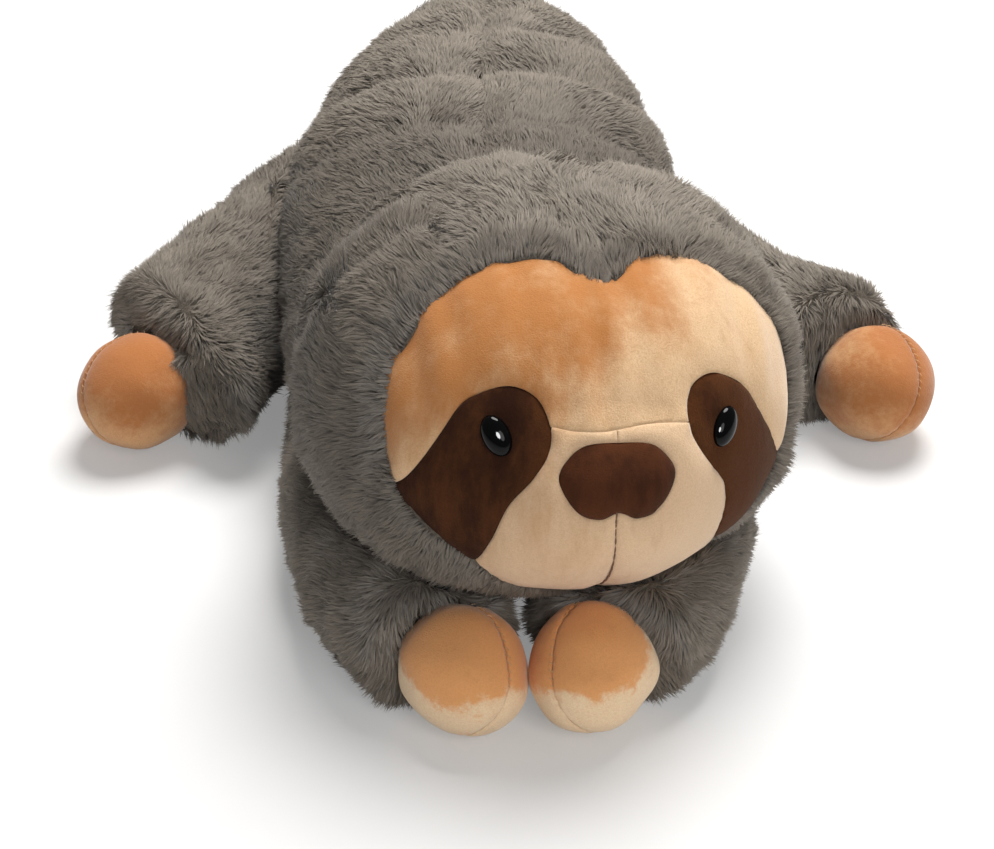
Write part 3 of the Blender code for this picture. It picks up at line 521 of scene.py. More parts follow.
@dataclass(frozen=True)
class PlushFinish(Finish):
    """Short brushed plush, whose nap lies in streaks and patches of a deeper tone."""

    name: str
    pale: tuple[int, int, int]
    deep: tuple[int, int, int]
    shade: tuple[int, int, int]
    streak: tuple[float, float, float] = (1.0, 1.0, 0.28)
    patch_size: float = 26.0 * MM
    threshold: tuple[float, float] = (0.40, 0.62)
    sheen: float = 0.35
    seed: float = 0.0
    rise: tuple[float, float, float] = (0.0, 1.0, 0.0)
    rise_way: tuple[float, float, float] = (0.0, 0.0, 1.0)

    def make(self) -> Material:
        """The material: nap patches, brushed streaks, fine fuzz and a sheen.

        The rise is a low and a high place along the rise's way, and how much more of the deep tone
        there is between the one and the other.
        """
        tree = Tree(self.name)
        brushed = tree.place(self.streak)
        patches = tree.noise(brushed, self.patch_size, 3.0, 0.5, self.seed)
        streaks = tree.noise(brushed, 3.2 * MM, 3.0, 0.6, self.seed + 3.0)
        fuzz = tree.noise(tree.place(), 0.55 * MM, 2.0, 0.6, self.seed + 5.0)
        low, high, amount = self.rise
        nap = patches * 0.72 + streaks * 0.28 + (tree.along(self.rise_way).between(low, high) - 0.5) * amount
        nap = nap.between(*self.threshold)
        body = tree.mix(nap, rgb(*self.pale), rgb(*self.deep))
        wear = tree.noise(brushed, 9.0 * MM, 3.0, 0.6, self.seed + 8.0)
        worn = tree.mix(wear.between(0.55, 0.8) * 0.35, body, rgb(*self.shade))
        colour = tree.mix(fuzz.between(0.35, 0.75) * 0.30, worn, rgb(*self.shade))
        height = fuzz * 0.55 + streaks * 0.45
        return tree.principled(Base_Color=colour, Roughness=0.86, Normal=tree.bump(height, 0.6 * MM, 0.8),
                               Specular_IOR_Level=0.05, Sheen_Weight=self.sheen, Sheen_Roughness=0.45)


@dataclass(frozen=True)
class GlossFinish(Finish):
    """Black moulded plastic with a clear gloss and a trace of dust."""

    colour: tuple[int, int, int] = (7, 7, 8)

    def make(self) -> Material:
        """The material, nearly a mirror at a glance."""
        tree = Tree("eye_gloss")
        dust = tree.noise(tree.place(), 1.1 * MM, 3.0, 0.6)
        rough = dust.between(0.45, 0.8) * 0.03 + 0.05
        colour = tree.mix(dust.between(0.6, 0.9) * 0.3, rgb(*self.colour), rgb(18, 14, 13))
        return tree.principled(Base_Color=colour, Roughness=rough, Specular_IOR_Level=0.16,
                               Normal=tree.bump(dust, 0.01 * MM, 0.3))


@dataclass(frozen=True)
class ThreadFinish(Finish):
    """Twisted sewing thread."""

    name: str
    dark: tuple[int, int, int]
    light: tuple[int, int, int]

    def make(self) -> Material:
        """The material: a fine slanting twist."""
        tree = Tree(self.name)
        twist = tree.noise(tree.place((1.0, 1.0, 0.5)), 0.35 * MM)
        colour = tree.mix(twist.between(0.35, 0.65), rgb(*self.dark), rgb(*self.light))
        return tree.principled(Base_Color=colour, Roughness=0.7, Normal=tree.bump(twist, 0.15 * MM))


def made(finish: Finish) -> Any:
    """A field whose default is a finish made into a material."""
    return field(default_factory=finish.make)


@dataclass
class Finishes:
    """All the materials of the toy, made once."""

    pile: Material = made(PileFinish())
    backing: Material = made(BackingFinish())
    tan: Material = made(PlushFinish(
        "tan_plush_forehead", (230, 196, 155), (188, 126, 72), (166, 106, 60), streak=(1.0, 1.0, 0.16),
        patch_size=20.0 * MM, threshold=(0.30, 0.78), rise=(92.0 * MM, 150.0 * MM, 0.50),
        rise_way=(-0.45, 0.0, 1.0)))
    # The muzzle's ramp along X is painted shade: a deeper tone towards -X, the toy's right.
    muzzle: Material = made(PlushFinish(
        "tan_plush_muzzle", (226, 194, 158), (200, 156, 114), (180, 134, 94), threshold=(0.42, 0.80),
        rise=(-10.0 * MM, 60.0 * MM, -0.20), rise_way=(1.0, 0.0, 0.0), seed=1.0))
    paw_front: Material = made(PlushFinish(
        "tan_plush_front_paw", (250, 222, 184), (240, 172, 112), (212, 144, 88), streak=(1.0, 1.0, 1.0),
        threshold=(0.43, 0.55), seed=2.0, rise=(12.0 * MM, 40.0 * MM, 0.32)))
    # The hind paws' plush is a darker, more orange copy of the front paws'; its darkness is painted shade.
    paw_hind_shaded: Material = made(PlushFinish(
        "tan_plush_hind_paw_shaded", (206, 158, 112), (182, 118, 70), (160, 98, 56), streak=(1.0, 1.0, 1.0),
        threshold=(0.38, 0.62), seed=9.0, rise=(6.0 * MM, 40.0 * MM, 0.20)))
    # The patches' ramp along X is painted shade: a deeper tone towards -X, the toy's right.
    brown: Material = made(PlushFinish(
        "brown_plush_patch", (84, 48, 22), (52, 26, 11), (38, 18, 8), patch_size=18.0 * MM, sheen=0.05,
        seed=4.0, rise=(-60.0 * MM, 80.0 * MM, -0.30), rise_way=(1.0, 0.0, 0.0)))
    nose: Material = made(PlushFinish(
        "brown_plush_nose", (84, 46, 24), (62, 33, 17), (42, 22, 12), patch_size=14.0 * MM, sheen=0.05,
        seed=6.0))
    eye: Material = made(GlossFinish())
    mouth: Material = made(ThreadFinish("mouth_thread", (96, 62, 40), (132, 92, 62)))
    thread: Material = made(ThreadFinish("paw_thread", (196, 150, 104), (224, 186, 142)))


def dress(item: Item, body: str, material: Material,
          nodes: tuple[str, ...] = ()) -> None:
    """Gives a piece its finish and its place in the model.

    Args:
        item: The piece.
        body: The body that it moves with.
        material: Its material.
        nodes: The solids that it stands for.
    """
    item.data.materials.clear()
    item.data.materials.append(material)
    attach(item, body)
    if nodes:
        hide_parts(*nodes)
    LOG.info("%s: %d corners, %d faces, moves with %s", item.name, len(item.data.vertices),
             len(item.data.polygons), body)


# Pile

LEAF_FACES = ((0, 1, 2), (1, 3, 2))
LEAF_SPOTS = ((0.5, 0.06), (0.94, 0.5), (0.06, 0.5), (0.5, 0.94))


@dataclass(frozen=True)
class Roots:
    """The fibres' roots, with a row for each.

    They have a place and a normal, the middle and the three numbers of their tuft, those of their
    fine tuft, and how far the pile is crushed there.
    """

    place: Array
    facing: Array
    middle: Array
    traits: Array
    fine: Array
    crushed: Array


@dataclass(frozen=True)
class Pile:
    """A pile of fine fibres, each a bent leaf, widest at its bend.

    Lift, bend, wander, rise and shake are angles in degrees, apart from the length's shake, which
    is a share, and the roll is in radians. Density is in fibres to a square millimetre. The turns
    are shares of the wander. Gather is how far a tip is drawn to its tuft's own.
    """

    length: float = 6.6 * MM
    width: float = 0.54 * MM
    density: float = 3.4
    root_depth: float = 0.8 * MM
    lift: float = 38.0
    bend: float = 17.0
    lift_shake: float = 9.0
    bend_shake: float = 11.0
    tuft: float = 5.0 * MM
    fine_tuft_share: float = 0.42
    gather: float = 0.20
    gather_limit: float = 0.7
    bend_pull: float = 0.30
    tuft_reach: float = 0.75
    wander: float = 24.0
    crush_turn: float = 0.9
    tuft_turn: float = 0.9
    fine_turn: float = 0.5
    own_turn: float = 0.25
    wave_rise: float = 6.0
    wave_length: float = 15.0 * MM
    tuft_rise: float = 9.0
    least_length: float = 0.90
    tuft_length: float = 0.16
    length_shake: float = 0.12
    roll: float = 0.5
    floor_gap: float = 0.25 * MM
    tone_length: float = 13.0 * MM
    crush_length: float = 17.0 * MM
    bend_share: float = 0.45
    skin_share: float = 0.45
    most: int = 98000
    # The least tone, low enough for deep painted shade.
    darkest: float = -1.7

    def plant(self, patch: Patch, coat: Coat, seed: int, rng: np.random.Generator) -> Roots:
        """The fibres' roots, spread evenly over a patch by area, with their tufts.

        Each cell's area is the length of the cross product of its diagonals over two, and a root
        lies at a random share of its cell both ways.

        Args:
            patch: The skin that the pile grows on.
            coat: What says how the pile lies, and how thick, long and dark it is.
            seed: The seed of its waves and tufts.
            rng: Where its random numbers come from.

        Returns:
            The roots.
        """
        corners = [number[patch.keep] for number in patch.cells()]
        places = patch.points.reshape(-1, 3)
        a, b, c, d = (places[k] for k in corners)
        area = np.linalg.norm(np.cross(c - a, d - b), axis=1) / 2.0
        area = area * np.clip(coat.weight((a + b + c + d) / 4.0), 0.0, 1.0)
        count = min(int(area.sum() * self.density / MM**2), self.most)
        spots = (np.arange(count) + rng.random(count)) / count * area.sum()
        cell = np.minimum(np.searchsorted(np.cumsum(area), spots), len(area) - 1)
        u, v = rng.random((2, count, 1))
        shares = ((1 - u) * (1 - v), u * (1 - v), u * v, (1 - u) * v)
        normals = patch.normals.reshape(-1, 3)
        place = sum(share * places[k[cell]] for share, k in zip(shares, corners))
        facing = unit(sum(share * normals[k[cell]] for share, k in zip(shares, corners)))
        middle, traits = tufts(place, self.tuft, seed)
        _, fine = tufts(place, self.tuft * self.fine_tuft_share, seed + 5)
        return Roots(place, facing, middle, traits, fine, waves(place, self.crush_length, seed + 1)[:, None])

    def turned(self, way: Array, roots: Roots, rng: np.random.Generator) -> Array:
        """The combed way laid on the skin, and turned by the crush, the tufts and a random angle.

        Args:
            way: The combed way at each root.
            roots: The fibres' roots.
            rng: Where its random numbers come from.

        Returns:
            The way that each fibre leans, at length one.
        """
        way = unit(way - roots.facing * dot(way, roots.facing))
        tuft, fine = roots.traits[:, :1] - 0.5, roots.fine[:, :1] - 0.5
        own = rng.normal(0.0, self.own_turn, (len(way), 1))
        turn = self.crush_turn * roots.crushed + tuft * self.tuft_turn + fine * self.fine_turn + own
        turn = np.radians(self.wander) * turn
        return way * np.cos(turn) + np.cross(roots.facing, way) * np.sin(turn)

    def bent(self, way: Array, roots: Roots, coat: Coat, seed: int,
             rng: np.random.Generator) -> tuple[Array, Array, Array]:
        """Each fibre's start, bend and tip.

        A fibre leaves its root at the lift angle over the skin and bends down to the bend angle.
        Its tip is drawn towards the tip of its tuft's middle.

        Args:
            way: The way that each fibre leans.
            roots: The fibres' roots.
            coat: What says how the pile lies, and how thick, long and dark it is.
            seed: The seed of its waves and tufts.
            rng: Where its random numbers come from.

        Returns:
            The three places, each with a row for a fibre.
        """
        facing, size = roots.facing, (len(way), 1)
        rise = self.wave_rise * waves(roots.place, self.wave_length, seed + 2)[:, None]
        rise = rise + self.tuft_rise * (roots.traits[:, 1:2] - 0.5) + coat.stand(roots.place)[:, None]
        lift = np.radians(self.lift + rise + rng.normal(0.0, self.lift_shake, size))
        lower = np.radians(self.bend + rise + rng.normal(0.0, self.bend_shake, size))
        own = rng.normal(0.0, self.length_shake, size)
        length = self.length * (self.least_length + self.tuft_length * roots.traits[:, 2:3] + own)
        length = length * coat.scale(roots.place)[:, None]
        start = roots.place - facing * self.root_depth
        bend = start + (facing * np.sin(lift) + way * np.cos(lift)) * length * self.bend_share
        tip = bend + (facing * np.sin(lower) + way * np.cos(lower)) * length * (1.0 - self.bend_share)
        pull = roots.middle + way * length * self.tuft_reach - tip
        pull = (pull - facing * dot(pull, facing)) * self.gather
        far = np.maximum(np.linalg.norm(pull, axis=1, keepdims=True), TINY)
        pull = pull * np.minimum(1.0, self.tuft * self.gather_limit / far)
        return start, bend + pull * self.bend_pull, tip + pull

    def leaves(self, start: Array, bend: Array, tip: Array, facing: Array,
               rng: np.random.Generator) -> Array:
        """The four corners of each fibre's leaf, which is rolled at random about its own line.

        Args:
            start: Where each fibre starts.
            bend: Where it bends.
            tip: Where it ends.
            facing: The skin's normal at each root.
            rng: Where its random numbers come from.

        Returns:
            Four corners for each fibre.
        """
        size = (len(start), 1)
        roll = rng.normal(0.0, self.roll, size)
        flat = unit(np.cross(tip - start, facing))
        flat = flat * np.cos(roll) + np.cross(unit(tip - start), flat) * np.sin(roll)
        half = self.width * 0.5 * rng.uniform(0.75, 1.25, size)
        points = np.stack([start, bend + flat * half, bend - flat * half, tip], axis=1)
        points[..., 2] = np.maximum(points[..., 2], self.floor_gap)
        return points

    def grow(self, name: str, patch: Patch, coat: Coat, seed: int) -> Item:
        """The pile of one panel as a mesh.

        Args:
            name: The piece's name.
            patch: The skin that it grows on.
            coat: What says how it is combed, how thick and long it is and how dark.
            seed: The seed of its random numbers.

        Returns:
            The object.
        """
        rng = np.random.default_rng(seed)
        roots = self.plant(patch, coat, seed, rng)
        count = len(roots.place)
        way = self.turned(coat.comb(roots.place), roots, rng)
        points = self.leaves(*self.bent(way, roots, coat, seed, rng), roots.facing, rng)
        faces = (np.arange(count)[:, None, None] * 4 + np.array(LEAF_FACES)).reshape(-1, 3)
        item = make_object(name, points.reshape(-1, 3), faces, weld=False)
        soft = 0.5 + 0.28 * waves(roots.place, self.tone_length, seed + 3) + 0.10 * roots.crushed[:, 0]
        tone = 0.55 * soft + 0.15 * roots.traits[:, 0] + 0.30 * rng.random(count)
        # The coat's painted shade is taken off each fibre's tone.
        self.write_traits(item, count, np.clip(tone - coat.shade(roots.place), self.darkest, 1.0))
        self.write_normals(item, roots.facing, points)
        return item

    def write_traits(self, item: Item, count: int, tone: Array) -> None:
        """Writes along, across and tone for the material, and a map with a cell for each fibre.

        Args:
            item: The piece.
            count: How many fibres it has.
            tone: Each fibre's tone.
        """
        values = {"along": np.tile((0.0, self.bend_share, self.bend_share, 1.0), count),
                  "across": np.tile((0.5, 1.0, 0.0, 0.5), count), "tone": np.repeat(tone, 4)}
        for key, numbers in values.items():
            layer = item.data.attributes.new(key, "FLOAT", "POINT")
            layer.data.foreach_set("value", numbers.astype(np.float32))
        across = math.ceil(math.sqrt(count))
        cell = np.stack([np.arange(count) % across, np.arange(count) // across], -1)[:, None, :]
        corner = ((cell + np.array(LEAF_SPOTS)[None]) / across)[:, np.ravel(LEAF_FACES), :]
        layer = item.data.uv_layers.new(name="OFBake")
        layer.data.foreach_set("uv", corner.astype(np.float32).ravel())

    def write_normals(self, item: Item, facing: Array, points: Array) -> None:
        """Turns the fibres' shading towards the skin's, so that the pile reads as one soft mass.

        Args:
            item: The piece.
            facing: The skin's normal at each root.
            points: The four corners of each leaf.
        """
        lower = unit(np.cross(points[:, 1] - points[:, 0], points[:, 2] - points[:, 0]))
        upper = unit(np.cross(points[:, 3] - points[:, 1], points[:, 2] - points[:, 1]))
        own = np.stack([lower, lower + upper, lower + upper, upper], axis=1)
        own = unit(own * np.sign(dot(own, facing[:, None]) + TINY))
        blend = unit(own * (1.0 - self.skin_share) + facing[:, None] * self.skin_share)
        item.data.normals_split_custom_set_from_vertices(blend.reshape(-1, 3))


class Coat:
    """What a furred sub-assembly says of its pile at places, and how its panels are covered."""

    body: str
    finishes: Finishes
    pile: Pile

    def comb(self, places: Array) -> Array:
        """The way that the fibres lie."""
        raise NotImplementedError

    def weight(self, places: Array) -> Array:
        """The share of the fibres that grow, from 0 to 1."""
        raise NotImplementedError

    def shade(self, places: Array) -> Array:
        """How much painted shade darkens the fibres."""
        raise NotImplementedError

    def scale(self, places: Array) -> Array:
        """The share of the fibres' length."""
        return np.ones(len(places))

    def stand(self, places: Array) -> Array:
        """The degrees by which the fibres stand up further."""
        return np.zeros(len(places))

    def cover(self, skin: str, pile: str, patch: Patch, nodes: tuple[str, ...], seed: int) -> None:
        """A padded skin on a patch, and its pile.

        Args:
            skin: The skin's name.
            pile: The pile's name.
            patch: The surface.
            nodes: The solids that the skin stands for.
            seed: The seed of the pile.
        """
        dress(patch.shell(skin, SKIN), self.body, self.finishes.backing, nodes)
        dress(self.pile.grow(pile, patch, self, seed), self.body, self.finishes.pile)


def swirled(way: Array, places: Array, swirls: tuple[tuple[int, float, float, int], ...]) -> Array:
    """Adds a soft wave for each swirl to the combed way: its axis, its share, its length and its seed."""
    for axis, share, length, seed in swirls:
        way[:, axis] += share * waves(places, length, seed)
    return way


# Forms


@dataclass
class TorsoForm:
    """The torso: a bowed loft along Y of flat-bottomed rounds."""

    half_width: float = 87.5 * MM
    front_length: float = 120.0 * MM
    rear_length: float = 241.0 * MM
    height: float = 106.0 * MM
    axis_height: float = 50.0 * MM
    bow: float = 8.0 * MM
    seam_height: float = 24.0 * MM
    section: float = 0.85
    fold_depth: float = 6.0 * MM
    fold_width: float = 10.0 * MM
    fold_shares: tuple[tuple[float, float, float], ...] = (
        (0.16, 0.3, 0.75), (0.38, 0.2, 1.0), (0.59, 0.9, 0.7))

    def fold(self, y: Array, across: Array, rise: Array) -> Array:
        """How far the back's folds draw it in, at a place along it, and across and up its section.

        Each fold is a bell along Y about its own place, which wavers a little, and is deepest on
        the side that it leans to. In front of it the fabric bulges.

        Args:
            y: Places along Y.
            across: The cosine of the turn.
            rise: The sine of the turn.

        Returns:
            The depths, positive inwards.
        """
        depth = np.zeros(np.broadcast(y, across).shape)
        for number, (place, lean, share) in enumerate(self.fold_shares):
            waver = 2.2 * MM * np.sin(5.0 * across + 2.0 * number)
            off = y - place * self.rear_length - waver
            bulge = 0.35 * bell(off + 2.0 * self.fold_width, 1.3 * self.fold_width)
            valley = bell(off, self.fold_width) - bulge
            depth = depth + share * valley * np.clip(1.0 - 0.275 * (across - lean) ** 2, 0.0, None)
        return self.fold_depth * depth * np.clip(0.35 + rise, 0.0, 1.0)

    def middle(self, y: Array) -> Array:
        """How far the middle line bows to the side: -bow times sin squared of the share."""
        share = np.clip((y + self.front_length) / (self.front_length + self.rear_length), 0.0, 1.0)
        return -self.bow * np.sin(np.pi * share) ** 2

    def rounds(self, angle: Array) -> tuple[Array, Array, Array, Array]:
        """Each round's place along Y, half width, rise over the axis and drop under it.

        Args:
            angle: The rounds' angles, from 0 at the front end to half a turn at the back.

        Returns:
            The four measures, one of each for an angle.
        """
        along = -np.cos(angle)
        front = along < 0.0
        fullness = np.where(front, 0.50, 0.95)
        share = np.abs(np.sin(angle)) ** fullness
        y = power(along, fullness) * np.where(front, self.front_length, self.rear_length)
        width = self.half_width * share ** np.where(front, 1.0, 1.3)
        over = (self.height - self.axis_height) * share**0.85
        under = self.axis_height * share**0.55
        return y, width, over, under

    def surface(self, angle: Array, turn: Array) -> Array:
        """Places on the torso for a round's angle and a turn about the middle line.

        Args:
            angle: The rounds' angles, from 0 at the front end to half a turn at the back.
            turn: Turns about the middle line, 0 on the left and a quarter of a turn on top.

        Returns:
            The places.
        """
        y, width, over, under = self.rounds(angle)
        rise = power(np.sin(turn), self.section)
        fold = self.fold(y, np.cos(turn), np.sin(turn))
        fold = fold * np.minimum(over / (self.height - self.axis_height), 1.0)
        x = self.middle(y) + power(np.cos(turn), self.section) * (width - fold)
        z = self.axis_height + rise * np.where(rise > 0.0, over - fold, under)
        return np.stack(np.broadcast_arrays(x, y, z), -1)

    def reach(self, places: Array) -> tuple[Array, Array]:
        """Over 1 outside the torso and under 1 inside, and the half width at each place's height.

        Args:
            places: Places, with xyz on the last axis.

        Returns:
            The reach, and the half width.
        """
        y, *sizes = self.rounds(np.linspace(0.0, np.pi, 241))
        width, over, under = (np.interp(places[..., 1], y, values) for values in sizes)
        upright = places[..., 2] - self.axis_height
        tall = np.maximum(np.where(upright > 0.0, over, under), LEAST_SIZE)
        share = np.abs(upright / tall) ** (2.0 / self.section)
        across = places[..., 0] - self.middle(places[..., 1])
        level = np.abs(across / np.maximum(width, LEAST_SIZE)) ** (2.0 / self.section)
        room = width * np.clip(1.0 - share, 0.0, 1.0) ** (self.section / 2.0)
        ends = (places[..., 1] < -self.front_length) | (places[..., 1] > self.rear_length)
        return np.where(ends, 9.0, level + share), room


@dataclass
class HeadForm:
    """The head: round about its upright axis, with the muzzle standing forward of it."""

    side_offset: float = 9.6 * MM
    forward_offset: float = 132.0 * MM
    mid_height: float = 87.0 * MM
    radius: float = 90.0 * MM
    upper: float = 76.0 * MM
    lower: float = 59.0 * MM
    upper_fullness: float = 0.95
    lower_fullness: float = 0.80
    muzzle_rise: float = 9.0 * MM
    muzzle_half_width: float = 52.0 * MM
    muzzle_half_height: float = 38.0 * MM
    muzzle_drop: float = 20.0 * MM
    fold_depth: float = 4.0 * MM
    fold_width: float = 9.0 * MM
    fold_shares: tuple[tuple[float, float], ...] = (
        (1 / 26, 0.7), (5 / 26, 0.8), (11 / 26, 1.0), (13 / 26, 0.75))
    halvings: int = 34
    turn: float = 14.0
    pitch: float = 16.0
    roll: float = 7.0
    centre: Array = field(init=False)
    right: Array = field(init=False)
    up: Array = field(init=False)
    forward: Array = field(init=False)

    def __post_init__(self) -> None:
        """Works out the head's middle and the face's own directions."""
        self.centre = np.array((self.side_offset, -self.forward_offset, self.mid_height))
        t, p, r = (math.radians(value) for value in (self.turn, -self.pitch, self.roll))
        turn = np.array(((math.cos(t), -math.sin(t), 0), (math.sin(t), math.cos(t), 0), (0, 0, 1)))
        pitch = np.array(((1, 0, 0), (0, math.cos(p), -math.sin(p)), (0, math.sin(p), math.cos(p))))
        roll = np.array(((math.cos(r), 0, math.sin(r)), (0, 1, 0), (-math.sin(r), 0, math.cos(r))))
        held = turn @ pitch @ roll
        self.right, self.up, self.forward = held @ (1, 0, 0), held @ (0, 0, 1), held @ (0, -1, 0)

    def reach(self, arm: Array, inset: float = 0.0) -> Array:
        """Over 1 outside the round head and under 1 inside it, for arms from its middle."""
        over = arm[..., 2] > 0.0
        exponent = 2.0 / np.where(over, self.upper_fullness, self.lower_fullness)
        height = np.where(over, self.upper, self.lower) - inset
        level = np.hypot(arm[..., 0], arm[..., 1]) / (self.radius - inset)
        return level**exponent + np.abs(arm[..., 2] / height) ** exponent

    def ray(self, way: Array) -> Array:
        """The surface's place along a way from the middle: reach to the power -fullness / 2."""
        fullness = np.where(way[..., 2] > 0.0, self.upper_fullness, self.lower_fullness)
        arm = way * (self.reach(way) ** (-fullness / 2.0))[..., None]
        return self.centre + arm - unit(arm) * self.fold(arm)[..., None]

    def fold(self, arm: Array) -> Array:
        """How far the crown's folds draw it in at arms from the middle, clear of the face.

        Each fold is a half plane from the upright axis outwards, with a bell across it.

        Args:
            arm: Arms from the head's middle, with xyz on the last axis.

        Returns:
            The depths, positive inwards.
        """
        level = np.hypot(arm[..., 0], arm[..., 1])
        clear = np.ones(level.shape)
        for reach in (arm[..., 2], level - 0.15 * self.radius, 0.5 * self.radius - arm @ self.forward):
            clear = clear * np.clip(reach / (0.28 * self.radius), 0.0, 1.0)
        depth = np.zeros(level.shape)
        for place, share in self.fold_shares:
            turn = 2.0 * np.pi * place
            ahead = arm[..., 0] * np.cos(turn) + arm[..., 1] * np.sin(turn)
            off = arm[..., 1] * np.cos(turn) - arm[..., 0] * np.sin(turn)
            off = off + 2.0 * MM * np.sin(level / (9.0 * MM) + 20.0 * place)
            depth = depth + share * bell(off, self.fold_width) * ease(0.0, 8.0 * MM, ahead)
        return self.fold_depth * depth * clear

    def bulge(self, across: Array, rise: Array) -> Array:
        """How far the muzzle stands forward at a place on the face."""
        level = across / self.muzzle_half_width
        upright = (rise + self.muzzle_drop) / self.muzzle_half_height
        far = level**2 + upright**2
        return self.muzzle_rise * np.clip(1.0 - far, 0.0, None) ** 1.5

    def face_point(self, across: Array, rise: Array, inset: float = 0.0) -> Array:
        """The face's surface at places across and up it, found by halving the depth.

        Args:
            across: Places across the face.
            rise: Places up the face.
            inset: How far under the round head the face lies.

        Returns:
            The places.
        """
        base = self.right * across[..., None] + self.up * rise[..., None]
        near = np.zeros(across.shape)
        far = np.full(across.shape, 2.0 * self.radius)
        for _ in range(self.halvings):
            half = (near + far) / 2.0
            within = self.reach(base + self.forward * half[..., None], inset) < 1.0
            near, far = np.where(within, half, near), np.where(within, far, half)
        depth = near + self.bulge(across, rise)
        return self.centre + base + self.forward * depth[..., None]

    def face_normal(self, across: Array, rise: Array, inset: float = 0.0) -> Array:
        """The face's normals by crossing its two slopes over half a millimetre."""
        step = 0.5 * MM
        here = self.face_point(across, rise, inset)
        normal = np.cross(self.face_point(across + step, rise, inset) - here,
                          self.face_point(across, rise + step, inset) - here)
        return unit(normal) * np.sign(dot(normal, self.forward))

    def underside(self, places: Array) -> Array:
        """The height of the head's underside over places, and 1 where there is no head."""
        level = np.hypot(places[..., 0] - self.centre[0], places[..., 1] - self.centre[1]) / self.radius
        exponent = 2.0 / self.lower_fullness
        drop = self.lower * np.clip(1.0 - level**exponent, 0.0, 1.0) ** (1.0 / exponent)
        return np.where(level < 1.0, self.mid_height - drop, 1.0)


# Sub-assemblies


@dataclass
class Torso(Coat):
    """The two back panels and the belly panel, with their pile."""

    form: TorsoForm
    head: HeadForm
    finishes: Finishes
    body: str = "torso"
    rows: int = 96
    columns: int = 64
    inset: float = 1.9 * MM
    seam_depth: float = 3.0 * MM
    seam_width: float = 6.0 * MM
    seam_turn_gap: float = 0.004
    seam_margin: float = 0.4 * MM
    even_share: float = 0.65
    pile: Pile = Pile()
    comb_out: float = 0.9
    comb_back: float = 0.75
    comb_down: float = 0.9
    comb_settle: float = 0.2
    swirls: tuple[tuple[int, float, float, int], ...] = ((0, 0.55, 70 * MM, 31), (1, 0.45, 60 * MM, 32))
    under_share: float = 0.25
    # Strengths of the painted shade: behind the neck and towards +X, and in the folds.
    neck_shade: float = 0.34
    fold_shade: float = 0.24

    def seam_turn(self, angle: Array) -> Array:
        """How far under the axis the belly seam lies on a round, as a turn."""
        under = self.form.rounds(angle)[3]
        drop = self.form.axis_height - self.form.seam_height
        share = np.clip(drop / np.maximum(under, LEAST_SIZE), 0.0, 1.0)
        return np.arcsin(share ** (1.0 / self.form.section))

    def relief(self, places: Array) -> Array:
        """How far the skin moves out: the back seam draws it in, and the stuffing swells it."""
        x = places[..., 0] - self.form.middle(places[..., 1])
        above = ease(20.0 * MM, 70.0 * MM, places[..., 2])
        out = 0.6 * MM * waves(places, 62.0 * MM, 5) + 0.4 * MM * waves(places, 27.0 * MM, 6)
        out = out - self.seam_depth * bell(x, self.seam_width) * above
        return out * ease(0.0, 14.0 * MM, places[..., 2])

    def comb(self, places: Array) -> Array:
        """The pile runs back from the neck and down the flanks, in loose swirls."""
        way = np.zeros_like(places)
        way[:, 0] = self.comb_out * np.sign(places[:, 0]) * ease(5 * MM, 70 * MM, np.abs(places[:, 0]))
        way[:, 1] = self.comb_back
        way[:, 2] = -self.comb_down * ease(70 * MM, 15 * MM, places[:, 2]) - self.comb_settle
        return swirled(way, places, self.swirls)

    def weight(self, places: Array) -> Array:
        """No fibres inside the head, and few underneath."""
        outside = self.head.reach(places - self.head.centre) > 0.93
        over = ease(0.5 * MM, 12 * MM, places[:, 2])
        return outside * (self.under_share + (1.0 - self.under_share) * over)

    def shade(self, places: Array) -> Array:
        """Painted shade: darker pile in the folds, behind the head at the neck and towards +X."""
        neck = 3.2 * ease(62 * MM, 28 * MM, places[:, 1]) + 0.9 * ease(0.0, 60 * MM, places[:, 0])
        fold = np.zeros(len(places))
        for place, _, share in self.form.fold_shares:
            fold += share * bell(places[:, 1] - place * self.form.rear_length, 7 * MM)
        return (self.neck_shade * neck + self.fold_shade * fold) * ease(20 * MM, 60 * MM, places[:, 2])

    def build(self) -> None:
        """Builds and dresses the three panels and their pile."""
        even = np.linspace(0.0, 1.0, self.rows)
        spread = (1.0 - np.cos(even * np.pi)) / 2.0 * (1.0 - self.even_share) + even * self.even_share
        angle = (np.pi * spread)[:, None]
        share = np.linspace(0.0, 1.0, self.columns)[None, :]
        for side in Side:
            low = -self.seam_turn(angle) + self.seam_turn_gap
            turn = low + (np.pi / 2 - self.seam_turn_gap - low) * share
            if side is Side.RIGHT:
                turn = np.pi - turn
            self.panel("back_" + side.word, angle, turn, ("back_fur_" + side.word,), 40 + int(side.value))
        angles = np.linspace(0.0, np.pi, 721)
        under = self.form.rounds(angles)[3]
        inside = angles[under > self.form.axis_height - self.form.seam_height + self.seam_margin]
        angle = np.linspace(inside[0], inside[-1], self.rows)[:, None]
        seam = self.seam_turn(angle) + self.seam_turn_gap
        turn = -seam - (np.pi - 2.0 * seam) * share
        self.panel("belly", angle, turn, ("belly_fur", "torso_stuffing"), 50)

    def panel(self, name: str, angle: Array, turn: Array, nodes: tuple[str, ...], seed: int) -> None:
        """One panel of the torso with its pile.

        Args:
            name: The panel's name.
            angle: The rounds' angles.
            turn: The turns about the middle line, a row for each round.
            nodes: The solids that the panel stands for.
            seed: The seed of its pile.
        """
        base = Patch(self.form.surface(angle, turn), np.array((0.0, 30 * MM, self.form.axis_height)))
        patch = base.moved(self.relief(base.points) - self.inset)
        patch.points[..., 2] = np.maximum(patch.points[..., 2], 0.1 * MM)
        self.cover(name + "_skin", name + "_pile", patch, nodes, seed)


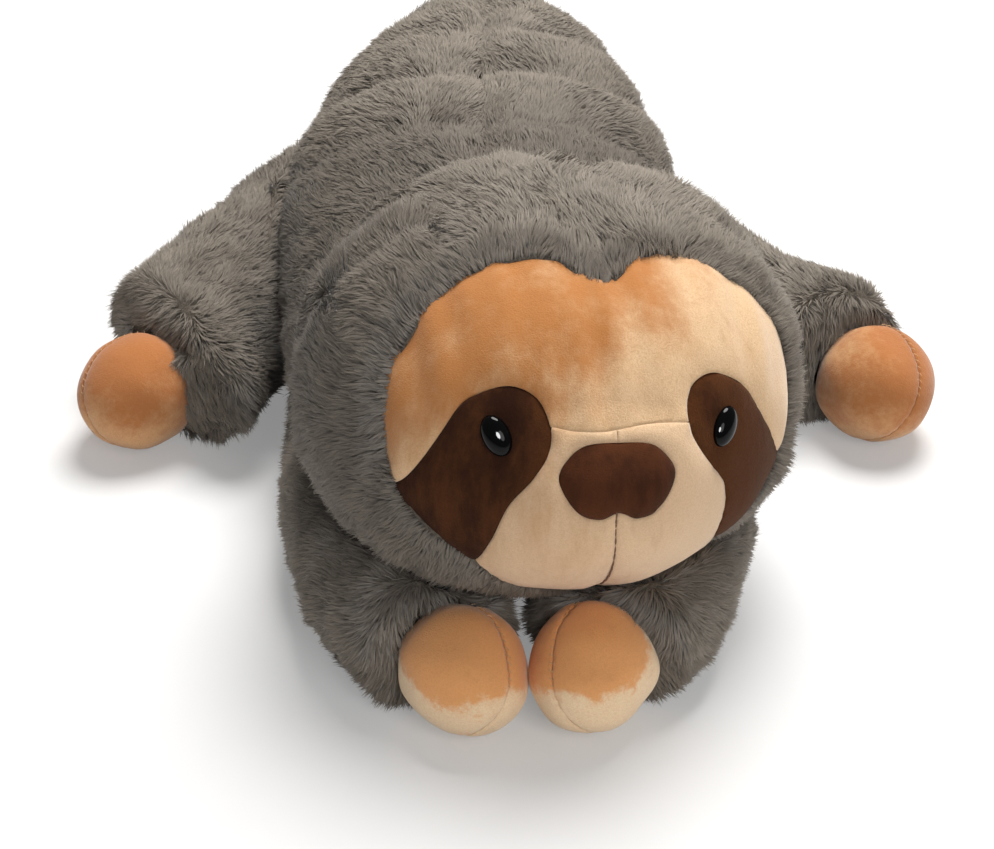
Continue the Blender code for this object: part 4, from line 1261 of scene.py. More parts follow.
FACE_SHARES = (
    (0.0, 0.91), (0.10, 0.96), (0.20, 1.02), (0.36, 1.01), (0.55, 0.93), (0.74, 0.77), (0.88, 0.57),
    (0.96, 0.38), (1.0, 0.12), (0.99, -0.14), (0.93, -0.38), (0.80, -0.57), (0.63, -0.73),
    (0.45, -0.88), (0.24, -0.97), (0.0, -1.01),
)
PATCH_SHARES = (
    (0.0, 0.16), (0.06, 0.04), (0.21, 0.0), (0.39, 0.05), (0.50, 0.12), (0.64, 0.28), (0.82, 0.50),
    (1.0, 0.66), (0.50, 1.0), (0.38, 0.87), (0.34, 0.75), (0.28, 0.53), (0.14, 0.38), (0.04, 0.27),
)
NOSE_SHARES = (
    (0.0, 0.0), (0.56, 0.04), (0.87, 0.23), (1.0, 0.46), (0.87, 0.73), (0.62, 0.95), (0.31, 1.0),
    (0.0, 0.90),
)


def mirrored(half: Array) -> Array:
    """A whole outline from its +X half, listed from top to bottom on the middle line."""
    return np.concatenate([half, half[1:-1][::-1] * (-1.0, 1.0)])


@dataclass
class Face:
    """The outlines of the face's panels, in the face's own across and up."""

    half_width: float = 74.0 * MM
    half_height: float = 58.0 * MM
    patch_width: float = 56.0 * MM
    patch_height: float = 76.0 * MM
    patch_side: float = 24.0 * MM
    patch_top: float = 24.0 * MM
    nose_half_width: float = 20.4 * MM
    nose_shift: float = -1.4 * MM
    rim_shift: float = 1.8 * MM
    nose_height: float = 26.0 * MM
    nose_top: float = 6.0 * MM
    muzzle_half_width: float = 50.0 * MM
    crease_rise: float = 10.0 * MM
    left_rim_share: float = 3.2
    jowl_drop: float = 5.2 * MM
    patch_lean: float = 3.2 * MM
    right_patch_drop: float = 2.0 * MM
    seam_shift: float = 1.0 * MM
    seam_slant: float = 7.0 * MM
    seam_waver: float = 0.4 * MM

    def rim(self) -> Array:
        """The rim of the face, with the notch of the fur line at its top.

        Returns:
            The points of the outline.
        """
        rim = closed_curve(mirrored(np.array(FACE_SHARES) * (self.half_width, self.half_height)))
        across, rise = rim.T
        side_share = np.where(across > 0.0, self.left_rim_share, 1.0)
        wider = self.rim_shift * side_share * np.abs(across) / self.half_width
        lower = self.jowl_drop * ease(0.0, -0.7 * self.half_height, rise) * ease(-60 * MM, 20 * MM, across)
        return rim + np.stack([wider, -lower], -1)

    def patch(self, side: Side) -> Array:
        """The rim of an eye patch.

        Args:
            side: Its side.

        Returns:
            The points of the outline.
        """
        shares = np.array(PATCH_SHARES)
        across = side.value * (self.patch_side + shares[:, 0] * self.patch_width)
        rise = self.patch_top - shares[:, 1] * self.patch_height
        across = across + self.patch_lean * ease(self.patch_top, -20 * MM, rise)
        rise = rise - (self.right_patch_drop if side is Side.RIGHT else 0.0)
        return closed_curve(np.stack([across, rise], -1))

    def nose(self) -> Array:
        """The rim of the nose, with its dimple at the bottom."""
        half = np.array(NOSE_SHARES) * (self.nose_half_width, -self.nose_height) + (0.0, self.nose_top)
        return closed_curve(mirrored(half)) + (self.nose_shift, 0.0)

    def seam(self, rise: Array) -> Array:
        """Where the muzzle's seam lies across the face: it slants below the nose and wavers."""
        slant = ease(-self.nose_height + self.nose_top, -self.half_height, rise)
        waver = self.seam_waver * np.sin(rise / (6.0 * MM))
        return self.nose_shift - self.seam_shift + self.seam_slant * slant + waver

    def rim_radius(self, turn: Array) -> Array:
        """The rim's distance from the face's middle at a turn in its plane."""
        rim = self.rim()
        turns = np.arctan2(rim[:, 1], rim[:, 0])
        order = np.argsort(turns)
        return np.interp(turn, turns[order], np.hypot(*rim.T)[order], period=2.0 * np.pi)


@dataclass
class Head(Coat):
    """The crown, chin and face panels of the head, with the eyes and the mouth stitch."""

    form: HeadForm
    finishes: Finishes
    face: Face = field(default_factory=Face)
    body: str = "head"
    rows: int = 84
    columns: int = 96
    chin_columns: int = 136
    recess: float = 1.5 * MM
    chin_drop: float = 30.0 * MM
    chin_gap: float = 0.15 * MM
    row_power: float = 1.15
    seam_turn_gap: float = 0.003
    cell: float = 1.0
    grid_across: tuple[float, float] = (-78.0, 78.5)
    grid_up: tuple[float, float] = (-63.0, 64.5)
    pile: Pile = Pile(length=7.6 * MM, width=0.52 * MM, lift=40.0, bend=20.0, gather=0.24, most=99000)
    comb_back: float = 0.55
    comb_down: float = 0.75
    swirls: tuple[tuple[int, float, float, int], ...] = (
        (0, 0.5, 55 * MM, 21), (1, 0.4, 48 * MM, 22), (2, 0.3, 50 * MM, 23))
    seam_dip: float = 0.8 * MM
    eye_side: float = 40.0 * MM
    eye_rise: float = 5.8 * MM
    eye_half_width: float = 4.8 * MM
    eye_half_height: float = 7.3 * MM
    eye_dome: float = 3.4 * MM
    eye_lean: float = -26.0
    eye_edge: tuple[tuple[float, float], ...] = (
        (1.0, 0.0), (0.96, -0.3 * MM), (0.42, -0.4 * MM), (0.42, -9.0 * MM), (0.0, -9.0 * MM))
    thread_points: int = 90
    thread_radius: float = 0.32 * MM
    thread_loops: float = 11.0

    def build(self) -> None:
        """Builds and dresses every piece of the head."""
        for side in Side:
            self.crown(side)
        chin = np.linspace(np.pi * 1.03, np.pi * 1.97, self.chin_columns)
        self.fur("chin", chin, True, ("chin_fur",), 66)
        self.panels()
        for side in Side:
            self.eye(side)
        self.mouth()

    def crown_surface(self, turn: Array, share: Array) -> Array:
        """The fur's surface from the face's rim at share 0 to the back of the head at share 1.

        A ray leaves the middle at an angle from straight forward, which runs from the rim's angle
        to half a turn, on the side that turn says.

        Args:
            turn: Turns about the face's forward line.
            share: Shares of the way back.

        Returns:
            The places.
        """
        radius = self.face.rim_radius(turn)
        s, t = radius * np.cos(turn), radius * np.sin(turn)
        arm = self.form.face_point(s, t) - self.form.centre
        start = np.arccos(np.clip(unit(arm) @ self.form.forward, -1.0, 1.0))
        lean = start + (np.pi - start) * share
        level = self.form.right * np.cos(turn)[..., None] + self.form.up * np.sin(turn)[..., None]
        return self.form.ray(self.form.forward * np.cos(lean)[..., None] + level * np.sin(lean)[..., None])

    def relief(self, places: Array, share: Array) -> Array:
        """The rim rolls in to the face's seam, the crown seam draws in, and the stuffing swells."""
        arm = places - self.form.centre
        out = 0.5 * MM * waves(places, 58 * MM, 15) + 0.4 * MM * waves(places, 25 * MM, 16)
        top = ease(10 * MM, 50 * MM, arm[..., 2])
        out = out - 1.6 * MM * bell(arm @ self.form.right, 5.0 * MM) * top
        return out - 2.0 * MM * (1.0 - ease(0.0, 0.06, share)) - 0.5 * MM

    def comb(self, places: Array) -> Array:
        """The pile runs out from the face, back over the crown and down at the cheeks."""
        arm = places - self.form.centre
        outward = arm - (arm @ self.form.forward)[:, None] * self.form.forward
        way = unit(outward) - self.form.forward * self.comb_back
        way[:, 2] -= self.comb_down * ease(0.3, -0.6, arm[:, 2] / self.form.upper)
        return swirled(way, places, self.swirls)

    def weight(self, places: Array) -> Array:
        """Few fibres where the head sinks into the neck."""
        behind = ease(30 * MM, 60 * MM, places[:, 1] + self.form.forward_offset)
        return 1.0 - 0.9 * behind * ease(95 * MM, 70 * MM, places[:, 2])

    def beyond(self, places: Array) -> Array:
        """How far places lie outside the face's rim, and a metre behind the face."""
        arm = places - self.form.centre
        s, t = arm @ self.form.right, arm @ self.form.up
        far = np.hypot(s, t) - self.face.rim_radius(np.arctan2(t, s))
        return np.where(arm @ self.form.forward > 0.0, far, 1.0)

    def left_cheek(self, places: Array) -> Array:
        """How far round on the left cheek places are, from 0 to 1."""
        return ease(0.35, 0.9, (places - self.form.centre) @ self.form.right / self.form.radius)

    def scale(self, places: Array) -> Array:
        """Fibres are shorter at the face's rim, where they are trimmed, and longer on the left cheek."""
        beyond = self.beyond(places)
        low = ease(-20 * MM, -45 * MM, (places - self.form.centre) @ self.form.up)
        chin = low * (1.0 - ease(0.0, 12 * MM, beyond))
        trim = (0.72 + 0.28 * ease(0.0, 8 * MM, beyond)) * (1.0 - 0.35 * chin)
        return trim * (1.0 + 0.16 * self.left_cheek(places))

    def stand(self, places: Array) -> Array:
        """Fibres stand up in a thick edge along the face's rim, and on the left cheek."""
        return 24.0 * (1.0 - ease(0.0, 7 * MM, self.beyond(places))) + 6.0 * self.left_cheek(places)

    def shade(self, places: Array) -> Array:
        """Painted shade: darker pile round the right cheek and at the throat, low under the head."""
        arm = places - self.form.centre
        cheek = ease(0.15, 0.85, -(arm @ self.form.right) / self.form.radius)
        return 0.55 * cheek + 0.5 * ease(-10 * MM, -50 * MM, arm[:, 2])

    def fur(self, name: str, turns: Array, low: bool, nodes: tuple[str, ...], seed: int) -> None:
        """One fur panel of the head with its pile, from the face's rim to the back.

        Args:
            name: The panel's name.
            turns: Turns about the face's own forward line.
            low: Whether the panel lies under the chin seam, not over it.
            nodes: The solids that it stands for.
            seed: The seed of its pile.
        """
        rows = np.linspace(0.0, 1.0, self.rows)[:, None] ** self.row_power
        turn, share = np.broadcast_arrays(turns[None, :], rows)
        base = Patch(self.crown_surface(turn, share), self.form.centre)
        cut = self.form.mid_height - self.chin_drop
        z = base.points[..., 2]
        centre = (z[:-1, :-1] + z[1:, :-1] + z[1:, 1:] + z[:-1, 1:]) / 4.0
        base.keep = centre < cut if low else centre > cut
        patch = base.moved(self.relief(base.points, share))
        self.snap(patch, cut + (-self.chin_gap if low else self.chin_gap))
        self.cover(name + "_skin", name + "_pile", patch, nodes, seed)

    @staticmethod
    def snap(patch: Patch, height: float) -> None:
        """Brings the corners along the chin seam to its height, sliding along the surface.

        Args:
            patch: The panel, which is changed.
            height: The seam's height.
        """
        around, most = cells_round(patch.keep), cells_round(np.ones_like(patch.keep))
        edge = (around > 0) & (around < most) & (np.abs(patch.points[..., 2] - height) < 6 * MM)
        slide = UP - patch.normals * patch.normals[..., 2:3]
        slide = slide / np.maximum(slide[..., 2:3], 0.3)
        step = (height - patch.points[..., 2])[..., None] * slide
        patch.points[edge] += step[edge]

    def crown(self, side: Side) -> None:
        """One half of the crown, from the face's rim to the back.

        Args:
            side: Its side.
        """
        end = np.pi / 2 - self.seam_turn_gap
        turn = np.linspace(end, -end, self.columns)
        if side is Side.RIGHT:
            turn = np.pi - turn
        nodes = ("crown_fur_" + side.word,) + (("head_stuffing",) if side is Side.LEFT else ())
        self.fur("crown_" + side.word, turn, False, nodes, 60 + int(side.value))

    def panels(self) -> None:
        """The forehead, muzzle halves, eye patches and nose, as puffed panels between seams."""
        rim, nose = self.face.rim(), self.face.nose()
        patches = {side: self.face.patch(side) for side in Side}
        wide, crease = self.face.muzzle_half_width, self.face.crease_rise

        def muzzle_block(q: Array) -> Array:
            """Positive inside the block under the crease."""
            wave = 1.0 * MM * np.sin(q[..., 0] / (7.0 * MM))
            return np.minimum(wide - np.abs(q[..., 0]), crease + wave - q[..., 1])

        def in_nose(q: Array) -> Array:
            """Positive inside the nose."""
            return inside_distance(q, nose)

        def in_face(q: Array) -> Array:
            """Positive inside the face's rim."""
            return inside_distance(q, rim) + 0.6 * MM

        def tan(q: Array) -> Array:
            """Positive where the face is tan."""
            in_patch = np.maximum(*(inside_distance(q, patches[side]) for side in Side))
            return np.minimum.reduce([in_face(q), -in_patch, -in_nose(q)])

        def forehead(q: Array) -> Array:
            """Positive inside the forehead panel."""
            return np.minimum(tan(q), -muzzle_block(q))

        self.panel("forehead_panel", forehead, Slot.TAN, self.finishes.tan, "forehead", 1.0 * MM, 5.0 * MM)
        for side in Side:
            def muzzle(q: Array, sign: float = side.value) -> Array:
                """Positive inside one half of the muzzle."""
                seam = sign * (q[..., 0] - self.face.seam(q[..., 1]))
                return np.minimum.reduce([tan(q), muzzle_block(q), seam])

            def eye_patch(q: Array, outline: Array = patches[side]) -> Array:
                """Positive inside one eye patch."""
                return np.minimum(in_face(q), inside_distance(q, outline))

            self.panel("muzzle_panel_" + side.word, muzzle, Slot.TAN, self.finishes.muzzle,
                       "muzzle_" + side.word, 1.2 * MM, 5.5 * MM)
            self.panel("eye_panel_" + side.word, eye_patch, Slot.BROWN, self.finishes.brown,
                       "eye_patch_" + side.word, 0.7 * MM, 4.0 * MM)
        self.panel("nose_panel", in_nose, Slot.BROWN, self.finishes.nose, "nose", 3.0 * MM, 6.0 * MM)

    def panel_grid(self, inside: Callable[[Array], Array]) -> tuple[Array, Array]:
        """A fine grid on the face cut to a panel, with the cells that it keeps.

        The grid's edge corners slide to the outline by steps of their distance over its slope.

        Args:
            inside: The distance inside the panel's outline at places on the face.

        Returns:
            The grid's places across and up the face, and the cells that are kept.
        """
        s, t = (np.arange(*ends, self.cell) * MM for ends in (self.grid_across, self.grid_up))
        grid = np.stack(np.meshgrid(s, t, indexing="ij"), -1)
        keep = inside((grid[:-1, :-1] + grid[1:, 1:]) / 2.0) > 0.0
        box = tuple(slice(max(n.min() - 1, 0), n.max() + 3) for n in np.where(keep))
        grid = grid[box].copy()
        keep = keep[box][: grid.shape[0] - 1, : grid.shape[1] - 1]
        around = cells_round(keep)
        edge = (around > 0) & (around < 4)
        places = grid[edge]
        step = 0.2 * MM
        for _ in range(3):
            gap = inside(places) - 0.04 * MM
            slopes = [(inside(places + way) - inside(places - way)) / (2.0 * step)
                      for way in (np.array((step, 0.0)), np.array((0.0, step)))]
            slope = np.stack(slopes, -1)
            places = places - gap[:, None] * slope / np.maximum((slope**2).sum(-1, keepdims=True), 0.25)
        grid[edge] = places
        return grid, keep

    def panel(self, name: str, inside: Callable[[Array], Array], slot: Slot, material: Material,
              node: str, puff: float, soft: float) -> None:
        """One panel of the face.

        It stands proud by puff in its middle and dips into its seams: the height is
        -dip + (dip + puff)(1 - exp(-distance / soft)) of the distance to its edge, with small
        puckers near the edge. Tan panels are drawn in upright waves, and brown ones sink at the eye.

        Args:
            name: The panel's name.
            inside: The distance inside its outline at places on the face.
            slot: The record's slot.
            material: Its material.
            node: The solid that it stands for.
            puff: How far its middle stands proud.
            soft: How far from the seam it takes to rise.
        """
        grid, keep = self.panel_grid(inside)
        depth = np.maximum(inside(grid), 0.0)
        s, t = grid[..., 0], grid[..., 1]
        level = bell(t - self.face.crease_rise, 4 * MM) * (np.abs(s) < self.face.muzzle_half_width)
        upright = bell(s - self.face.seam(t), 4 * MM) * (t > self.face.nose_top)
        dip = self.seam_dip * (1.0 - 0.85 * np.maximum(level, upright))
        height = -dip + (dip + puff) * (1.0 - np.exp(-depth / soft))
        pucker = np.sin(s / (1.5 * MM) + 1.7 * np.sin(t / (3.1 * MM))) * np.sin(t / (1.7 * MM))
        height = height + 0.16 * MM * pucker * np.exp(-depth / (2.2 * MM))
        if slot is Slot.TAN:
            drawn = np.stack([2.4 * s, 0.5 * t, 0.0 * s], -1)
            height = height + 0.5 * MM * waves(drawn, 30 * MM, 47) * ease(0.0, 14 * MM, t)
        else:
            for side in Side:
                far = np.hypot(s - side.value * self.eye_side, (t - self.eye_rise) * 0.75)
                height = height - (puff + 0.35 * MM) * bell(far, 6.5 * MM)
        normals = self.form.face_normal(s, t, self.recess)
        base = self.form.face_point(s, t, self.recess)
        base = base + normals * (height + 0.35 * MM * waves(base, 30 * MM, 44))[..., None]
        patch = Patch(base, self.form.centre, keep)
        patch.normals = normals
        dress(patch.shell(name, SKIN), self.body, material, (node,))

    def eye_frame(self, side: Side) -> tuple[Array, Array, Array, Array]:
        """An eye's place on the face with its own right, up and outward directions.

        Args:
            side: Its side.

        Returns:
            The place and the three directions.
        """
        step = self.eye_half_width
        s, t = np.array(side.value * self.eye_side), np.array(self.eye_rise)
        point = self.form.face_point(s, t, self.recess)
        across = self.form.face_point(s + step, t, self.recess) - point
        above = self.form.face_point(s, t + step, self.recess) - point
        outward = unit(np.cross(across, above))
        outward = outward * np.sign(outward @ self.form.forward)
        upward = unit(above - outward * (above @ outward))
        lean = math.radians(side.value * self.eye_lean)
        upward = upward * math.cos(lean) + np.cross(outward, upward) * math.sin(lean)
        return point, np.cross(upward, outward), upward, outward

    def eye(self, side: Side) -> None:
        """A domed oval eye on its round shank: the dome's height is its cosine, out to the rim's oval.

        Args:
            side: Its side.
        """
        point, right, upward, outward = self.eye_frame(side)
        lean = np.linspace(0.0, 0.5 * np.pi, 15)
        edge = np.array(self.eye_edge)
        out = np.concatenate([np.sin(lean), edge[:, 0]])
        rise = np.concatenate([0.3 * MM + self.eye_dome * np.cos(lean), edge[:, 1]])
        turn = np.linspace(0.0, 2.0 * np.pi, 48, endpoint=False)
        tall = np.concatenate([np.full(17, self.eye_half_height), np.full(3, self.eye_half_width)])
        points = (point + right * (out * self.eye_half_width)[:, None, None] * np.cos(turn)[None, :, None]
                  + upward * (out * tall)[:, None, None] * np.sin(turn)[None, :, None]
                  + outward * rise[:, None, None])
        item = Patch(points, point, wrap=True).whole("eye_button_" + side.word)
        dress(item, self.body, self.finishes.eye, ("eye_" + side.word,))

    def mouth(self) -> None:
        """The stitched thread along the mouth seam, from the nose down to the chin."""
        count = self.thread_points
        top = self.face.nose_top - self.face.nose_height * 0.84
        t = np.linspace(top, -self.face.half_height * 0.97, count)
        s = self.face.seam(t)
        normals = self.form.face_normal(s, t, self.recess)
        dip = 0.3 * MM * np.abs(np.sin(np.arange(count) / count * np.pi * self.thread_loops)) - 0.95 * MM
        line = self.form.face_point(s, t, self.recess) + normals * dip[:, None]
        item = tube("mouth_stitch", line, self.thread_radius, 8)
        dress(item, self.body, self.finishes.mouth)


def tube(name: str, line: Array, radius: float, sides: int) -> Item:
    """A closed tube along a line, with a ring square to it at every point and a point at each end.

    Args:
        name: The piece's name.
        line: The middle line's points, one in each row.
        radius: The tube's radius.
        sides: Corners of a ring.

    Returns:
        The object.
    """
    ahead = unit(np.gradient(line, axis=0))
    side = unit(np.cross(ahead, UP + np.array((0.001, 0.002, 0.0))))
    above = np.cross(side, ahead)
    turn = np.linspace(0.0, 2.0 * np.pi, sides, endpoint=False)
    ring = side[:, None] * np.cos(turn)[None, :, None] + above[:, None] * np.sin(turn)[None, :, None]
    ring[[0, -1]] = 0.0
    return Patch(line[:, None] + ring * radius, line.mean(axis=0), wrap=True).whole(name)


RADIUS_SHARES = ((0.0, 1.0), (0.2, 1.0), (0.45, 0.99), (0.7, 0.96), (0.88, 0.93), (1.0, 0.88))
FULLNESS_SHARES = ((0.0, 0.0), (0.2, 0.1), (0.4, 0.45), (0.6, 0.8), (0.8, 1.0), (0.9, 0.9), (1.0, 0.6))
HEM_FULLNESS_SHARES = ((0.0, 0.0), (0.5, 0.0), (0.8, 0.8), (1.0, 1.0))


def table_value(table: tuple[tuple[float, float], ...], share: Array) -> Array:
    """A table's value at shares, straight between its rows."""
    return np.interp(share, *np.transpose(table))


@dataclass
class Limb(Coat):
    """One arm or leg: its furred sleeve and the two halves of its paw."""

    side: Side
    body: str
    root: Array
    bend: Array
    end: Array
    radius: float
    paw_radius: float
    paw_turn: float
    torso: TorsoForm
    head: HeadForm
    finishes: Finishes
    paw_finish: Material
    seed: int
    fullness: Array
    seam_roll: float
    inset: float
    hem_fullness: Array = field(default_factory=lambda: np.full(3, TINY))
    paw_half_length: float = 27.0 * MM
    rows: int = 90
    cap_rows: int = 13
    columns: int = 64
    hem_share: float = 0.13
    # Strength of the painted shade in the crease against the torso, and the torso reach where it fades.
    crease_shade: float = 1.9
    crease_reach: float = 1.75
    pile: Pile = Pile(density=3.2, lift=36.0, bend=16.0, gather=0.16, wander=18.0, most=84000)
    comb_back: float = 0.6
    comb_out: float = 0.45
    comb_down: float = 0.5
    under_share: float = 0.25
    seam_depth: float = 0.9 * MM
    seam_width: float = 1.3 * MM
    stitches: int = 15
    stitch_points: int = 9
    stitch_sides: int = 6
    stitch_half: float = 1.5 * MM
    stitch_radius: float = 0.16 * MM
    forward: Array = field(init=False)
    wrist: Array = field(init=False)
    paw_middle: Array = field(init=False)

    def __post_init__(self) -> None:
        """Works out the paw's own forward line and middle, and the wrist."""
        turn = math.radians(self.paw_turn)
        self.forward = np.array((math.sin(turn), -math.cos(turn), 0.0))
        self.wrist = self.end - self.forward * (self.paw_half_length * 0.5 - 1.5 * MM)
        self.paw_middle = self.end + UP * self.paw_radius

    def place(self, share: Array) -> Array:
        """The sleeve's middle line on the floor plan: a quadratic bend from root to wrist."""
        share = share[..., None]
        return self.root * (1 - share) ** 2 + self.bend * 2 * share * (1 - share) + self.wrist * share**2

    def sleeve_points(self) -> Array:
        """The sleeve's outer surface from the closed root to the wrist's hem.

        Before the root the rings close as a half ball. After it their radius follows a table of
        shares, and over the hem it curls in to the seam on the paw as a quarter of an oval.

        Returns:
            The places, a ring in each row.
        """
        caps = self.cap_rows
        cap = np.linspace(0.0, 0.5 * np.pi, caps + 1)[:-1]
        share = np.concatenate([np.zeros(caps), np.linspace(0.0, 1.0, self.rows - caps) ** 0.8])
        along = self.place(share)
        step = 0.01
        ahead = unit(self.place(np.minimum(share + step, 1.0)) - self.place(np.maximum(share - step, 0.0)))
        blend = ease(0.8, 1.0, share)[:, None]
        ahead = unit(ahead * (1 - blend) + self.forward * blend)
        radius = self.radius * table_value(RADIUS_SHARES, share)
        seam = self.paw_radius * 0.86 - 1.0 * MM
        closing = np.clip((share - (1.0 - self.hem_share)) / self.hem_share, 0.0, 1.0)
        curl = 1.0 - np.sqrt(1.0 - closing**2.4)
        height = radius * (1 - curl) + (self.paw_radius + 1.0 * MM) * curl
        radius = radius * (1 - curl) + seam * curl
        radius[:caps] = self.radius * np.sin(cap)
        along[:caps] -= ahead[:caps] * (self.radius * np.cos(cap))[:, None]
        turn = np.linspace(0.0, 2.0 * np.pi, self.columns, endpoint=False)
        side = unit(np.cross(UP, ahead))
        ring = side[:, None] * np.cos(turn)[None, :, None] + UP * np.sin(turn)[None, :, None]
        points = along[:, None] + UP * height[:, None, None] + ring * radius[:, None, None]
        for way, table in ((self.fullness, FULLNESS_SHARES), (self.hem_fullness, HEM_FULLNESS_SHARES)):
            amount = (table_value(table, share) * (1.0 - curl))[:, None]
            points = points + way * (amount * np.clip(ring @ unit(way), 0.0, None))[..., None]
        return self.pressed(points)

    def pressed(self, points: Array) -> Array:
        """The sleeve gives way to what it meets: the torso's flank, the head's underside, the floor.

        Args:
            points: The sleeve's places, which are changed.

        Returns:
            The same places.
        """
        reach, room = self.torso.reach(points)
        sign = self.side.value
        flank = self.torso.middle(points[..., 1]) + sign * (room + 0.4 * MM)
        free = np.linalg.norm(points[..., :2] - self.root[:2], axis=-1) > 1.02 * self.radius
        points[..., 0] = np.where((reach < 1.0) & free, flank, points[..., 0])
        if self.body.startswith("arm"):
            points[..., 0] = sign * np.maximum(sign * points[..., 0], 0.8 * MM)
        under = self.head.underside(points) - 0.8 * MM
        points[..., 2] = np.maximum(np.minimum(points[..., 2], under), 0.15 * MM)
        return points

    def comb(self, places: Array) -> Array:
        """The pile runs back from the paw and out and down at the sides, and stands out at the hem."""
        line = self.place(np.linspace(0.0, 1.0, 40))
        ahead = unit(np.gradient(line, axis=0))
        nearest = np.argmin(((places[:, None, :2] - line[None, :, :2]) ** 2).sum(-1), axis=1)
        way = ahead[nearest] * -self.comb_back * (1.0 - self.hem(places)[:, None])
        way[:, :2] += self.comb_out * (places[:, :2] - line[nearest, :2]) / self.radius
        way[:, 2] -= self.comb_down
        return swirled(way, places, ((0, 0.22, 50 * MM, self.seed + 3), (1, 0.22, 45 * MM, self.seed + 4)))

    def hem(self, places: Array) -> Array:
        """How near places are to the sleeve's hem, from 0 to 1 at the wrist."""
        return ease(-16 * MM, -3 * MM, (places - self.wrist) @ self.forward)

    def scale(self, places: Array) -> Array:
        """The fibres are a little longer at the hem, where they lie over the paw."""
        return 1.0 + 0.2 * self.hem(places)

    def shade(self, places: Array) -> Array:
        """Painted shade: darker pile in the crease against the body, under the chin and near the floor."""
        reach = self.torso.reach(places)[0]
        crease = ease(self.crease_reach, 1.05, reach) * ease(70 * MM, 45 * MM, places[:, 2])
        under = ease(1.6, 1.0, self.head.reach(places - self.head.centre))
        low = ease(26 * MM, 4 * MM, places[:, 2])
        return self.crease_shade * crease + 0.8 * under + 0.35 * low

    def weight(self, places: Array) -> Array:
        """No fibres inside the torso or the head, and few underneath."""
        clear = (self.torso.reach(places)[0] > 0.9) & (self.head.reach(places - self.head.centre) > 0.9)
        over = ease(0.5 * MM, 9 * MM, places[:, 2])
        return clear * (self.under_share + (1.0 - self.under_share) * over)

    def build(self) -> None:
        """Builds and dresses the sleeve, its pile and the paw."""
        points = self.sleeve_points()
        base = Patch(points, points.reshape(-1, 3).mean(axis=0), wrap=True)
        base.normals = self.smooth_normals(points)
        swell = 0.9 * MM * waves(points, 44 * MM, self.seed)
        relief = swell + 0.5 * MM * waves(points, 20 * MM, self.seed + 1)
        patch = base.moved((relief - self.inset) * ease(2 * MM, 14 * MM, points[..., 2]))
        patch.points[..., 2] = np.maximum(patch.points[..., 2], 0.15 * MM)
        patch.normals = self.smooth_normals(patch.points)
        nodes = (self.body + "_fur", self.body + "_stuffing")
        self.cover(self.body + "_sleeve", self.body + "_pile", patch, nodes, self.seed + 7)
        self.paw_half(self.side.value, "outer")
        self.paw_half(-self.side.value, "inner")
        self.paw_seam()

    @staticmethod
    def smooth_normals(points: Array) -> Array:
        """Normals of a ring grid, which point away from each ring's own middle."""
        patch = Patch(points, points.reshape(-1, 3).mean(axis=0), wrap=True)
        lean = dot(patch.normals, unit(points - points.mean(axis=1, keepdims=True)))
        return np.where(np.abs(lean) > 0.05, patch.normals * np.sign(lean), patch.normals)

    def paw_surface(self, lean: Array, turn: Array, sink: Array) -> Array:
        """The paw's egg: along its forward line by -cos(lean), round it at sin(lean) times the radius.

        Args:
            lean: Angles from the wrist's end of the forward line.
            turn: Turns about that line, 0 on its +X side and a quarter on top.
            sink: How far under the egg.

        Returns:
            The places.
        """
        along = -np.cos(lean) * (self.paw_half_length - sink)
        radius = np.sin(lean) * (self.paw_radius - sink)
        side = np.cross(UP, self.forward)
        points = (self.paw_middle - UP * (0.5 * MM) + self.forward * along[..., None]
                  + side * (radius * np.cos(turn))[..., None] + UP * (radius * np.sin(turn))[..., None])
        points[..., 2] = np.maximum(points[..., 2], 0.1 * MM)
        return points

    def paw_half(self, which: float, label: str) -> None:
        """One half of the paw, from the wrist to the tip, drawn in at the seam with small puckers.

        Args:
            which: 1 for the +X side of the forward line, and -1 for the other.
            label: Its word in the names of pieces.
        """
        lean = np.linspace(math.acos(0.62), np.pi, 54)[:, None]
        end = 0.5 * np.pi - 0.006
        turn = np.linspace(-end, end, 60)[None, :]
        lean, turn = np.broadcast_arrays(lean, turn if which > 0 else np.pi - turn)
        sideways = np.abs(np.cos(turn)) * np.sin(lean) * self.paw_radius
        pucker = 0.16 * MM * np.sin(lean * self.paw_half_length / (0.75 * MM))
        pucker = pucker * np.exp(-sideways / (2.4 * MM))
        sink = self.seam_depth * np.exp(-sideways / self.seam_width) + pucker
        sink = sink + 1.4 * MM * (1.0 - ease(1.0, 1.35, lean))
        points = self.paw_surface(lean, turn + self.seam_roll, sink)
        swell = 0.4 * MM * waves(points, 24 * MM, self.seed + 9)
        points = points + unit(points - self.paw_middle) * swell[..., None]
        points[..., 2] = np.maximum(points[..., 2], 0.1 * MM)
        node = f"{self.body}_paw_{label}"
        item = Patch(points, self.paw_middle).shell(node + "_plush", SKIN)
        dress(item, self.body, self.paw_finish, (node,))

